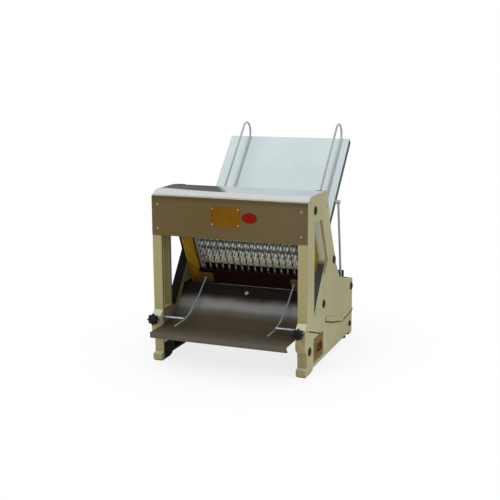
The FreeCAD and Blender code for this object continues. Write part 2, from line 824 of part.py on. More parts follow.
def connecting_rods(label, sign, rod_x):
    """Two rods of one blade frame: a strap round the eccentric, a tapered shank, an eye."""
    pieces = []
    bore = s.eccentric_radius + s.running
    strap = bore.value + s.strap_wall.value
    eye = s.small_end_radius.value
    rise = float(s.crank_drop - s.small_end_drop)
    big_y = s.throw.value * sign
    small_y = ROW.value * sign
    for side in (-1, 1):
        near = (rod_x.value + s.gap.value) * side
        far = near + s.rod_thickness.value * side
        x0, x1 = min(near, far), max(near, far)
        foot = strap * 0.8
        head = eye * 0.8
        shank = Part.makePolygon([VECTOR(x0, big_y - foot, 0), VECTOR(x0, big_y + foot, 0),
                                  VECTOR(x0, small_y + head, rise), VECTOR(x0, small_y - head, rise),
                                  VECTOR(x0, big_y - foot, 0)])
        plate = Part.Face(shank).extrude(X_AXIS * (x1 - x0))
        whole = rod(x0, x1, big_y, 0, strap).fuse([plate, rod(x0, x1, small_y, rise, eye)])
        whole = whole.cut(rod(x0 - 1, x1 + 1, big_y, 0, bore)).removeSplitter()
        pieces.append(whole)
    y, z = CRANK
    solid(Part.makeCompound(pieces), label, y, z, tilt=s.blade_tilt)


def pulley_shape(x, radius, bore):
    """V-grooved wheel on the X axis."""
    half = s.pulley_width.value / 2
    radius = float(radius)
    floor = radius - s.belt.value
    mouth, root = half * 0.65, half * 0.5
    wheel = rod(x - half, x + half, 0, 0, radius)
    left = Part.makeCone(radius, floor, mouth - root, VECTOR(x - mouth, 0, 0), X_AXIS)
    right = Part.makeCone(floor, radius, mouth - root, VECTOR(x + root, 0, 0), X_AXIS)
    core = left.fuse([rod(x - root, x + root, 0, 0, floor), right])
    groove = rod(x - mouth, x + mouth, 0, 0, radius + 1).cut(core)
    return wheel.cut([groove, rod(x - half - 1, x + half + 1, 0, 0, bore)]).removeSplitter()


def drive():
    """Pulleys, belt, motor and the shaft's bearings."""
    x = -s.pulley_x.value
    crank_y, crank_z = CRANK
    motor_y, motor_z = MOTOR
    solid(pulley_shape(x, s.crank_pulley_radius, s.shaft_radius), "crank_pulley", crank_y, crank_z)
    solid(pulley_shape(x, s.motor_pulley_radius, s.motor_shaft_radius), "motor_pulley", motor_y, motor_z)
    flank = x + s.pulley_width.value / 2 + 6
    shaft = rod(x - s.pulley_width.value / 2, flank + 30, 0, 0, s.motor_shaft_radius)
    solid(shaft, "motor_shaft", motor_y, motor_z)
    belt_low = s.crank_pulley_radius.value - s.belt.value + s.gap.value
    belt_small = s.motor_pulley_radius.value - s.belt.value + s.gap.value
    rings = []
    for grow in (s.belt.value, 0.0):
        rings.append(belt_loop(x, belt_low + grow, belt_small + grow, float(motor_y - crank_y),
                               float(motor_z - crank_z), s.pulley_width.value / 4 - s.gap.value))
    solid(rings[0].cut(rings[1]), "drive_belt", crank_y, crank_z)
    start = flank + 1
    stop = start + s.motor_length.value
    slope = 12
    full, small = s.motor_radius.value, s.motor_radius.value - slope
    stator = rod(start + slope, stop - slope, 0, 0, full)
    stator = stator.fuse([Part.makeCone(small, full, slope, VECTOR(start, 0, 0), X_AXIS),
                          Part.makeCone(full, small, slope, VECTOR(stop - slope, 0, 0), X_AXIS)])
    fins = []
    count = 12
    for i in range(count):
        fin = box(start + 28, -2, full - 3, stop - 40, 2, full + 5)
        fins.append(fin.rotate(ORIGIN, X_AXIS, 360.0 * (i + 0.5) / count))
    foot = float(s.motor_z - s.belly - s.rim) - 4
    feet = box(start + 40, -52, -foot, start + s.motor_length - 55, 52, -foot + 8)
    neck = box(start + 50, -30, -foot, start + s.motor_length - 65, 30, 0)
    housing = stator.fuse(fins + [feet, neck])
    bore = rod(start - 1, flank + 31, 0, 0, s.motor_shaft_radius + s.running)
    housing = housing.cut(bore).removeSplitter()
    solid(housing, "motor_body", motor_y, motor_z)
    reach = WEB_FACE - 6
    plate = box(-reach, 365, s.belly + s.rim, reach, 495, s.belly + s.rim + 4)
    solid(plate, "motor_plate")
    shells = []
    for side in (-1, 1):
        inner = INNER.value - 16
        outer = INNER.value
        flange = rod(inner, outer, 0, 0, 28)
        shell = flange.cut(rod(inner - 1, outer + 1, 0, 0, s.shaft_radius + s.running))
        shells.append(shell if side > 0 else mirrored(shell))
    solid(Part.makeCompound(shells), "shaft_bearings", crank_y, crank_z)


def belt_loop(x, big, small, dy, dz, half):
    """Solid bounded by the outer line of a belt round two wheels, on the first wheel's axis."""
    span = math.hypot(dy, dz)
    swing = math.acos((big - small) / span)
    base = math.atan2(dz, dy)

    def spot(cy, cz, radius, angle):
        return VECTOR(x - half, cy + radius * math.cos(angle), cz + radius * math.sin(angle))

    a = spot(0, 0, big, base + swing)
    b = spot(0, 0, big, base - swing)
    c = spot(dy, dz, small, base - swing)
    d = spot(dy, dz, small, base + swing)
    back = spot(0, 0, big, base + math.pi)
    nose = spot(dy, dz, small, base)
    edges = [Part.Arc(a, back, b).toShape(), Part.LineSegment(b, c).toShape(),
             Part.Arc(c, nose, d).toShape(), Part.LineSegment(d, a).toShape()]
    return Part.Face(Part.Wire(edges)).extrude(X_AXIS * (2 * half))


# ---------------------------------------------------------------- feed table


def feed_table():
    """Sheet the loaves slide down, its sides folded under, notched to pass the posts."""
    body = new_body("feed_table", TABLE_END[0], TABLE_END[1], tilt=s.table_slope)
    half = s.table_width / 2
    t = s.table_sheet
    section = new_sketch(body, "XZ_Plane", -s.table_length)
    loop(section, [(-half, -s.table_flange), (-half + t, -s.table_flange), (-half + t, -t),
                   (half - t, -t), (half - t, -s.table_flange), (half, -s.table_flange),
                   (half, Dim.of(0)), (-half, Dim.of(0))])
    feature(body, "Pad", section, s.table_length)
    notch = new_sketch(body, "XY_Plane", Dim.of(1))
    for side in (-1, 1):
        near, far = s.notch_width * side, (half + 1) * side
        low, high = (near, far) if side > 0 else (far, near)
        rectangle(notch, low, Dim.of(-1), high, s.notch_length)
    feature(body, "Pocket", notch, s.table_flange + 2)


def table_struts():
    """Two stays from the rear block up to the table's folded sides."""
    top_y, top_z = table_point(STRUT_TOP_RUN, -s.table_flange / 2)
    foot_z = s.rear_height + SEAT_RISE
    x = float(INNER) + 6
    start = VECTOR(x, STRUT_FOOT_Y.value, float(foot_z) + 2)
    end = VECTOR(x, float(top_y), float(top_z))
    bar = Part.makeCylinder(4, (end - start).Length, start, end - start)
    eye = rod(s.table_width / 2, x + 6, top_y, top_z, 8)
    foot = box(x - 5.5, STRUT_FOOT_Y - 10, foot_z, x + 5.5, STRUT_FOOT_Y + 10, foot_z + 5)
    strut = bar.fuse([eye, foot]).removeSplitter()
    pieces = [strut, mirrored(strut)]
    solid(Part.makeCompound(pieces), "table_struts")


# ---------------------------------------------------------------- loaf guides


def guide_rod():
    """Cross rod that carries both loaf guides, with a screw at each end."""
    solid(rod(-INNER, INNER, s.guide_rod_y, s.guide_rod_z, s.guide_rod_radius), "guide_rod")
    heads = []
    for side in (-1, 1):
        head = rod(HALF, HALF + 3, s.guide_rod_y, s.guide_rod_z, 6.5)
        heads.append(head if side > 0 else mirrored(head))
    solid(Part.makeCompound(heads), "guide_rod_screws")


def loaf_guide(label, x):
    """Hairpin of wire standing on the table, and the carrier that holds it on the rod."""
    low = s.wire + s.gap
    high = low + s.loop_radius * 2
    end = s.table_length - s.loop_drop
    x = x.value
    points = [(0, s.lower_leg_end, low), (0, end + s.loop_radius, low),
              (0, end + s.loop_radius, high), (0, s.upper_leg_end, high)]
    bends = [s.loop_radius.value - 0.01] * 2
    hairpin = wire_bar(points, s.wire, bends)
    solid(hairpin, label + "_wire", TABLE_END[0], TABLE_END[1], x, tilt=s.table_slope)
    dy = s.guide_rod_y - TABLE_END[0]
    dz = s.guide_rod_z - TABLE_END[1]
    run = float(dy * TABLE_COS + dz * TABLE_SIN)
    rise = float(dz * TABLE_COS - dy * TABLE_SIN)
    half = s.carrier.value / 2
    wall = s.guide_rod_radius.value + 7
    arm = box(-half + 4, run - 9, high, half - 4, run + 9, rise)
    hub = box(-half, run - wall, rise - wall, half, run + wall, rise + wall)
    clamp = box(-half, run - 14, high - 9, half, run + 14, high + 9)
    block = hub.fuse([arm, clamp])
    block = block.cut(rod(-half - 1, half + 1, run, rise, s.guide_rod_radius + s.running))
    along = Part.makeCylinder(s.wire.value, 60, VECTOR(0, run - 30, float(high)), VECTOR(0, 1, 0))
    block = block.cut(along).removeSplitter()
    solid(block, label + "_carrier", TABLE_END[0], TABLE_END[1], x, tilt=s.table_slope)


# ---------------------------------------------------------------- receiving tray


def tray():
    """Curved stainless tray: a rolled front lip, a flat, a bend and a slope up to the blades."""
    body = new_body("tray")
    t = s.tray_sheet
    level = s.tray_level
    sin_t, cos_t = sine(s.tray_slope), cosine(s.tray_slope)
    cy, cz = s.tray_flat_end, level + s.tray_radius
    inner, outer = s.tray_radius, s.tray_radius + t
    y1, z1 = cy + inner * sin_t, cz - inner * cos_t
    y2, z2 = cy + outer * sin_t, cz - outer * cos_t
    dy, dz = s.tray_run * cos_t, s.tray_run * sin_t
    front, back = s.tray_front, s.tray_front + s.tray_lip_return
    foot = level - s.tray_lip
    sketch = new_sketch(body, "YZ_Plane", -s.tray_half_width)
    loop(sketch, [
        (front - t, level), (front - t, foot - t), (back, foot - t), (back, foot),
        (front, foot), (front, level - t),
        (cy, level - t, (cy, cz, outer, True)), (y2, z2), (y2 + dy, z2 + dz),
        (y1 + dy, z1 + dz), (y1, z1, (cy, cz, inner, False)), (cy, level)])
    feature(body, "Pad", sketch, s.tray_half_width * 2)


def tray_fixings():
    """Angle brackets under the tray's sides and the screw that holds it to its tie rod."""
    brackets = []
    for side in (-1, 1):
        outer = INNER.value * side
        inner = outer - 2.0 * side
        shelf = outer - 22.0 * side
        top = float(s.tray_level - s.tray_sheet)
        upright = box(min(outer, inner), 4, 62, max(outer, inner), 52, top)
        ledge = box(min(outer, shelf), 4, top - 2, max(outer, shelf), 52, top)
        brackets.append(upright.fuse(ledge).removeSplitter())
    solid(Part.makeCompound(brackets), "tray_brackets")
    slope = s.tray_slope
    sin_t, cos_t = sine(slope), cosine(slope)
    away = s.tray_radius
    y1 = s.tray_flat_end + away * sin_t
    z1 = s.tray_level + s.tray_radius - away * cos_t
    run = (CAP_TRAY[0] - y1) * cos_t + (CAP_TRAY[1] - z1) * sin_t
    depth = (CAP_TRAY[0] - y1) * sin_t - (CAP_TRAY[1] - z1) * cos_t
    posts = []
    bar = rod(-200, 200, 0, -depth, s.tie_radius)
    for x in (-150, 0, 150):
        post = box(x - 9, -s.tie_radius, -depth, x + 9, s.tie_radius, -s.tray_sheet)
        posts.append(post.cut(bar))
    spot = (y1 + run * cos_t, z1 + run * sin_t)
    solid(Part.makeCompound(posts), "tray_posts", spot[0], spot[1], 0, slope)
    washer = Part.makeCylinder(9, 1.6, ORIGIN)
    head = Part.makeCylinder(5.5, 3.2, VECTOR(0, 0, 1.6))
    solid(washer.fuse(head).removeSplitter(), "tray_screw", spot[0], spot[1], 0, slope)


def tray_guide(side, label):
    """Bent wire that keeps the slices together, on a stem clamped in the leg's pad."""
    route = [(-65, 145), (0, 147), (46, 157), (124, 202), (191, 256)]
    x = s.guide_x.value * side
    wire = wire_bar([(x, y, z) for y, z in route], s.guide_wire, [60, 45, 160])
    stem_end = HALF.value - 1
    near = x
    start = min(near, stem_end * side)
    stem = rod(start, start + abs(stem_end * side - near), s.stem_y, s.stem_z, s.stem_radius)
    solid(wire.fuse(stem).removeSplitter(), label)


def star_knob(side, label):
    """Star-shaped clamp knob with its stud, which presses on the guide's stem."""
    body = new_body(label, 0, s.stem_z, s.knob_x * side)
    lobes = 8
    corners = []
    for i in range(lobes):
        for share, reach in ((-0.2, s.knob_radius), (0.2, s.knob_radius), (0.5, s.knob_waist)):
            turn = 2 * math.pi * (i + share) / lobes
            corners.append((reach * math.cos(turn), reach * math.sin(turn)))
    star = new_sketch(body, "XZ_Plane", s.knob_back)
    loop(star, corners)
    feature(body, "Pad", star, s.knob_front - s.knob_back)
    stud = new_sketch(body, "XZ_Plane", -(s.stem_y - s.stem_radius - s.gap))
    circle(stud, 0, 0, s.stem_radius)
    feature(body, "Pad", stud, s.knob_back + s.stem_y - s.stem_radius - s.gap)


# ---------------------------------------------------------------- switch, gland, rear cover


def switch():
    """Switch plate on the right side, the switch's case behind it and the rocker in it."""
    half_y, half_z = s.switch_length / 2, s.switch_height / 2
    rocker_y, rocker_z = s.rocker_length / 2, s.rocker_height / 2
    case_y, case_z = rocker_y + s.gap, rocker_z + s.gap
    plate = box(0, -half_y, -half_z, s.switch_plate, half_y, half_z)
    bezel = box(s.switch_plate, -case_y - 3, -case_z - 3, s.switch_plate + 2, case_y + 3, case_z + 3)
    well = box(-1, -case_y, -case_z, s.switch_plate + 3, case_y, case_z)
    plate = plate.fuse(bezel).cut(well).removeSplitter()
    solid(plate, "switch_plate", s.switch_y, s.switch_z, HALF)
    case = box(-32, -case_y, -case_z, 0, case_y, case_z)
    room = box(-12, 2 - case_y, 2 - case_z, 1, case_y - 2, case_z - 2)
    solid(case.cut(room), "switch_case", s.switch_y, s.switch_z, HALF)
    tip = rocker_y.value - 2.5
    depth = s.rocker_height.value - 4
    sin_r, cos_r = sine(s.rocker_tilt).value, cosine(s.rocker_tilt).value
    profile = [(-6, -8), (-3, -tip), (0.5, -tip), (-0.8, 0), (0.5, tip), (-3, tip), (-6, 8)]
    turned = [VECTOR(x * cos_r + y * sin_r, y * cos_r - x * sin_r, -depth / 2) for x, y in profile]
    rocker = Part.Face(Part.makePolygon(turned + turned[:1])).extrude(Z_AXIS * depth)
    solid(rocker, "rocker", s.switch_y, s.switch_z, HALF + s.switch_plate)


def cable_gland():
    """Cable gland through the right casting near its back, bored for the mains lead."""
    flange = Part.makeCone(11, 8.5, 5.5, ORIGIN, X_AXIS)
    barrel = rod(-s.web - 12, 1, 0, 0, s.gland_radius)
    corners = [VECTOR(-float(s.web) - 8, 11 * math.cos(math.pi * i / 3), 11 * math.sin(math.pi * i / 3))
               for i in range(6)]
    nut = Part.Face(Part.makePolygon(corners + corners[:1])).extrude(X_AXIS * 8)
    whole = flange.fuse([barrel, nut]).cut(rod(-40, 10, 0, 0, s.cable_radius))
    solid(whole.removeSplitter(), "cable_gland", s.gland_y, s.gland_z, HALF)


def rear_cover():
    """Folded sheet that closes the back of the drive, slotted for cooling air."""
    body = new_body("rear_cover")
    t = s.cover_back_sheet
    back = s.frame_length - 3
    front = s.frame_length - s.cover_back_depth
    low = s.belly + s.rim + 6
    top = s.cover_back_height
    lift = 10
    lip = 16
    sketch = new_sketch(body, "YZ_Plane", -INNER)
    loop(sketch, [(back, low), (back, top), (front, top + lift), (front, top + lift - lip),
                  (front + t, top + lift - lip), (front + t, top + lift - t),
                  (back - t, top - t), (back - t, low)])
    feature(body, "Pad", sketch, INNER * 2)
    slot = new_sketch(body, "XZ_Plane", -back - 5)
    start = Dim.of(-165)
    rectangle(slot, start, Dim.of(110), start + 6, Dim.of(170))
    one = feature(body, "Pocket", slot, t + 10, reverse=True)
    row_of = body.newObject("PartDesign::LinearPattern", "Slots")
    row_of.Originals = [one]
    row_of.Direction = (slot, ["H_Axis"])
    row_of.Length = 324
    row_of.Occurrences = 19
    body.Tip = row_of
    doc.recompute()


def build_all():
    side_frame(-1, "side_frame_left")
    side_frame(1, "side_frame_right")
    rubber_feet()
    tie_rods()
    bolt_caps()
    front_cover()
    top_plate()
    cover_screws()
    name_plate()
    oval_badge()
    blade_row("front_blades", -1, 0)
    blade_row("rear_blades", 1, 1)
    blade_bars("front_frame", -1, s.front_rod_x)
    blade_bars("rear_frame", 1, s.rear_rod_x)
    guide_post(-1, "guide_post_left")
    guide_post(1, "guide_post_right")
    sill()
    crankshaft()
    connecting_rods("front_rods", -1, s.front_rod_x)
    connecting_rods("rear_rods", 1, s.rear_rod_x)
    drive()
    feed_table()
    table_struts()
    guide_rod()
    loaf_guide("loaf_guide_right", s.loaf_right_x)
    loaf_guide("loaf_guide_left", s.loaf_left_x)
    tray()
    tray_fixings()
    for side, name in ((-1, "left"), (1, "right")):
        tray_guide(side, "tray_guide_" + name)
        star_knob(side, "star_knob_" + name)
    switch()
    cable_gland()
    rear_cover()


build_all()
doc.recompute()

for obj in doc.Objects:
    if {"Invalid", "Error"} & set(obj.State):
        raise RuntimeError("%s (%s) failed: %s" % (obj.Name, obj.Label, obj.State))
os.makedirs("parts", exist_ok=True)
for obj in parts:
    shape = obj.Shape
    if shape.isNull() or not shape.isValid():
        raise RuntimeError("%s has no valid shape" % obj.Label)
    shape.exportStep("parts/%s.step" % obj.Label)
    print("%-24s solids %2d volume %9.1f mm3" % (obj.Label, len(shape.Solids), shape.Volume))
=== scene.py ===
import logging
import math
from dataclasses import dataclass, field, replace
from enum import Enum
from functools import reduce
from typing import Callable, ClassVar, Sequence

import bmesh
import bpy
from mathutils import Matrix, Vector


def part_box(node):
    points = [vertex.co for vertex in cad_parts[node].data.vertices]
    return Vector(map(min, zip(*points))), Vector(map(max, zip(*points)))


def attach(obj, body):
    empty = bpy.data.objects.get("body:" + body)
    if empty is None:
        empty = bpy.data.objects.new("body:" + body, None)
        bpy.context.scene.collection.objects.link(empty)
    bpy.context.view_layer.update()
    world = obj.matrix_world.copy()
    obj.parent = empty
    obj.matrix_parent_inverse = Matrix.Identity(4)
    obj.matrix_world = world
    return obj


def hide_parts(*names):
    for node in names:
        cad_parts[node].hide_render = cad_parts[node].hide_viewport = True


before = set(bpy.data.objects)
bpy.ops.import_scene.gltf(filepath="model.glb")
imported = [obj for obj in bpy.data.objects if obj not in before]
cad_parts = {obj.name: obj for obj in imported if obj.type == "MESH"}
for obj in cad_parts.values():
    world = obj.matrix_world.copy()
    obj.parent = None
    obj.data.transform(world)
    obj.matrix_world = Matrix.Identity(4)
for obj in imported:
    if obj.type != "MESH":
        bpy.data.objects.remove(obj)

log = logging.getLogger("bread_slicer")

Colour = tuple[float, float, float]
Point = tuple[float, float, float]
Spot = tuple[float, float]
Range = tuple[float, float]  # For a zone: where it is still unseen, then where it is full.
Pattern = tuple[float, ...]  # What Surface.noise takes, but for the stretch.
Shape = tuple[list, list]
Socket = bpy.types.NodeSocket
Node = bpy.types.Node
Tree = bpy.types.NodeTree
Material = bpy.types.Material

MIX_A, MIX_B, MIX_OUT = 6, 7, 2  # The sockets of a Mix node that carry colours.
PURE_WHITE = (1.0, 1.0, 1.0, 1.0)


class Axis(Enum):
    """A direction of the model, used for grain, brushing and masks."""

    X = 0
    Y = 1
    Z = 2


class Side(Enum):
    """Left or right hand of the operator."""

    LEFT = -1
    RIGHT = 1


# Finishes


def add_node(tree: Tree, kind: str, feeds: dict, **settings: object) -> Node:
    """Add a node to a tree and feed its inputs.

    Args:
        tree: The tree.
        kind: The node's type, without ShaderNode before it.
        feeds: For each input, a socket to link or a value to set.
        settings: The node's own settings.

    Returns:
        The node.
    """
    node = tree.nodes.new("ShaderNode" + kind)
    for name, value in settings.items():
        setattr(node, name, value)
    for name, value in feeds.items():
        if isinstance(value, Socket):
            tree.links.new(value, node.inputs[name])
        else:
            node.inputs[name].default_value = value
    return node


def drawn_out(axis: Axis, share: float) -> Point:
    """Return the factors that draw a pattern out along one axis."""
    return tuple(share if one is axis else 1.0 for one in Axis)


class Surface:
    """A material being put together from nodes round one shader."""

    def __init__(self, name: str) -> None:
        """Start an empty material.

        Args:
            name: The material's name.
        """
        self.material = bpy.data.materials.new(name)
        self.material.use_nodes = True
        self.tree = self.material.node_tree
        self.shader = self.tree.nodes["Principled BSDF"]
        self.coords = self.node("TexCoord", {}).outputs

    def node(self, kind: str, feeds: dict, **settings: object) -> Node:
        """Add a node to this material."""
        return add_node(self.tree, kind, feeds, **settings)

    def set(self, **values: object) -> None:
        """Set plain values on the shader's own sockets.

        Args:
            values: The values, by the sockets' names in small letters, joined by _.
        """
        names = {socket.name.lower().replace(" ", "_"): socket for socket in self.shader.inputs}
        for word, value in values.items():
            names[word].default_value = value

    def link(self, source: Socket, target: str) -> None:
        """Feed one of the shader's sockets from a node's output."""
        self.tree.links.new(source, self.shader.inputs[target])

    def noise(self, scale: float, detail: float = 3.0, rough: float = 0.55,
              stretch: Point = (1.0, 1.0, 1.0)) -> Socket:
        """Add a cloudy pattern.

        Args:
            scale: How many blotches there are to a metre.
            detail: Number of finer layers.
            rough: Strength of the finer layers.
            stretch: Factor along each axis.

        Returns:
            The pattern's value socket.
        """
        place = self.node("Mapping", {"Vector": self.coords["Object"], "Scale": stretch}).outputs[0]
        return self.node("TexNoise", {"Vector": place, "Scale": scale, "Detail": detail,
                                      "Roughness": rough}).outputs["Fac"]

    def ramp(self, source: Socket, stops: Sequence[tuple[float, Colour]]) -> Socket:
        """Turn a value into a colour.

        Args:
            source: The value.
            stops: Places between 0 and 1, each with its colour.

        Returns:
            The colour socket.
        """
        node = self.node("ValToRGB", {"Fac": source})
        elements = node.color_ramp.elements
        for end, (spot, colour) in ((0, stops[0]), (1, stops[-1])):
            elements[end].position = spot
            elements[end].color = (*colour, 1.0)
        for spot, colour in stops[1:-1]:
            elements.new(spot).color = (*colour, 1.0)
        return node.outputs["Color"]

    def span(self, source: Socket, low: float, high: float, to_low: float = 0.0,
             to_high: float = 1.0) -> Socket:
        """Map a value from low..high to to_low..to_high, held at both ends."""
        return self.node("MapRange", {"Value": source, "From Min": low, "From Max": high,
                                      "To Min": to_low, "To Max": to_high}).outputs["Result"]

    def along(self, axis: Axis) -> Socket:
        """Return one of the object's coordinates, in metres."""
        return self.node("SeparateXYZ", {0: self.coords["Object"]}).outputs[axis.value]

    def facing(self, axis: Axis) -> Socket:
        """Return one part of the surface's own direction."""
        return self.node("SeparateXYZ", {0: self.coords["Normal"]}).outputs[axis.value]

    def sum(self, kind: str, a: Socket, b: object = 0.0) -> Socket:
        """Join two values, or change one, by the operation named in capitals."""
        return self.node("Math", {0: a, 1: b}, operation=kind).outputs[0]

    def weighed(self, parts: Sequence[tuple[Socket, float]], start: float = 0.0) -> Socket:
        """Add up values, each times its weight, to a starting number."""
        first, *others = [self.sum("MULTIPLY", *part) for part in parts]
        return reduce(lambda a, b: self.sum("ADD", a, b), others, self.sum("ADD", first, start))

    def both(self, *shares: Socket) -> Socket:
        """Multiply shares together."""
        return reduce(lambda a, b: self.sum("MULTIPLY", a, b), shares)

    def blend(self, share: Socket, a: object, b: object) -> Socket:
        """Mix two colours, each a socket or a plain colour, by share."""
        a, b = ((*one, 1.0) if isinstance(one, tuple) else one for one in (a, b))
        return self.node("Mix", {0: share, MIX_A: a, MIX_B: b}, data_type="RGBA").outputs[MIX_OUT]

    def relief(self, height: Socket, depth: float, strength: float, edge: float) -> None:
        """Give the surface fine relief.

        Args:
            height: The relief's height, 0 to 1.
            depth: What 1 stands for, in metres.
            strength: Share of the relief that is used.
            edge: Radius by which sharp edges look broken, in metres.
        """
        soft = self.node("Bevel", {"Radius": edge}, samples=4).outputs["Normal"]
        bump = self.node("Bump", {"Distance": depth, "Strength": strength, "Height": height,
                                  "Normal": soft})
        self.link(bump.outputs["Normal"], "Normal")


@dataclass(frozen=True)
class Finish:
    """A finish: a colour clouded by its darker companion, and its gloss, wear and relief."""

    name: str
    colour: Colour
    shade: Colour
    roughness: float = 0.4
    gloss: float = 0.3
    metal: float = 0.0
    cloud: Pattern = (9.0, 4.0)
    stops: Range = (0.32, 0.62)
    wear: Pattern = (40.0, 2.0)
    wear_range: Range = (0.3, 0.7)
    swing: Range = (-0.05, 0.08)
    grain: Pattern = (420.0, 2.0)
    depth: float = 0.00012
    strength: float = 0.5
    edge: float = 0.0009

    def material(self) -> Material:
        """Return the finish's material, made the first time it is asked for."""
        return bpy.data.materials.get(self.name) or self.made()

    def made(self) -> Material:
        """Build the material; where it has no wear of its own, the wear follows the relief.

        Returns:
            The material.
        """
        s = Surface(self.name)
        s.link(self.tone(s), "Base Color")
        s.set(specular_ior_level=self.gloss, metallic=self.metal)
        grain = self.grained(s)
        wear = s.noise(*self.wear) if self.wear else grain
        ends = [self.roughness + part for part in self.swing]
        s.link(s.span(wear, *self.wear_range, *ends), "Roughness")
        s.relief(grain, self.depth, self.strength, self.edge)
        return s.material

    def clouded(self, s: Surface) -> Socket:
        """Return the colour's pattern."""
        return s.noise(*self.cloud)

    def grained(self, s: Surface) -> Socket:
        """Return the relief's pattern."""
        return s.noise(*self.grain)

    def tone(self, s: Surface) -> Socket:
        """Return the colour."""
        return s.ramp(self.clouded(s), list(zip(self.stops, (self.shade, self.colour))))


@dataclass(frozen=True)
class Enamel(Finish):
    """Sprayed enamel: even colour, faint cloudiness, fine orange peel."""


@dataclass(frozen=True)
class FoldedEnamel(Enamel):
    """Enamelled sheet with folded sides painted darker as painted shade, and a strip where the
    blades pass it with painted shade, painted glints and a painted light band.
    """

    # The folded sides are painted dark as painted shade.
    side: Colour = (0.035, 0.038, 0.034)
    # A dark strip painted as shade below the blades, with bright spots painted on it as glints.
    shaded_comb: Colour = (0.1, 0.1, 0.085)
    painted_glint: Colour = (0.8, 0.8, 0.74)
    # A pale band painted as light on the table's end, with dark lines painted as the shade in its
    # slots.
    lit_heel: Colour = (0.7, 0.66, 0.5)
    slot_shade: Colour = (0.05, 0.045, 0.03)
    shaded_comb_y: Range = (0.038, 0.034)
    lit_heel_y: Range = (-0.0115, -0.0125)
    pitch: float = 0.012
    first_row: float = -0.0059
    row: float = 0.0194

    def wave(self, s: Surface, axis: Axis, start: float, length: float) -> Socket:
        """Return 1 at every length from start along an axis, and 0 half-way between."""
        turn = s.weighed([(s.along(axis), math.pi / length)], -math.pi * start / length)
        return s.sum("ABSOLUTE", s.sum("COSINE", turn))

    def tone(self, s: Surface) -> Socket:
        """Paint shade on the sides, shade and glints where the blades pass, and below them a light
        band with shaded slots.

        Args:
            s: The material being made.

        Returns:
            The colour socket.
        """
        # Painted shade on faces that look sideways.
        side_shade = s.span(s.sum("ABSOLUTE", s.facing(Axis.X)), 0.6, 0.9)
        front = s.span(s.facing(Axis.Y), 0.2, 0.0)
        y = s.along(Axis.Y)
        tine = self.wave(s, Axis.X, 0.0, self.pitch)
        # Bright spots painted as glints on a strip of painted shade.
        spots = s.both(s.sum("POWER", self.wave(s, Axis.Y, self.first_row, self.row), 1.5), tine)
        shaded_comb = s.blend(s.span(spots, 0.2, 0.65), self.shaded_comb, self.painted_glint)
        # Dark lines painted as shade in slots across a band of painted light.
        lit_heel = s.blend(s.span(tine, 0.12, 0.35), self.slot_shade, self.lit_heel)
        tone = s.blend(s.both(front, s.span(y, *self.shaded_comb_y)), super().tone(s), shaded_comb)
        tone = s.blend(s.both(front, s.span(y, *self.lit_heel_y)), tone, lit_heel)
        return s.blend(side_shade, tone, self.side)


@dataclass(frozen=True)
class ShadeSkirtEnamel(Enamel):
    """Dark sheet standing in for the shade under the table, whose stiffening bar's front is painted
    pale like the table's end, as painted light.
    """

    # The bar's front is painted pale as painted light.
    bar: Colour = (0.8, 0.76, 0.6)
    bar_z: Range = (0.292, 0.2922)

    def tone(self, s: Surface) -> Socket:
        """Paint the bar's front pale, as painted light."""
        front = s.both(s.span(s.along(Axis.Z), *self.bar_z), s.span(s.facing(Axis.Y), -0.4, -0.8))
        return s.blend(front, super().tone(s), self.bar)


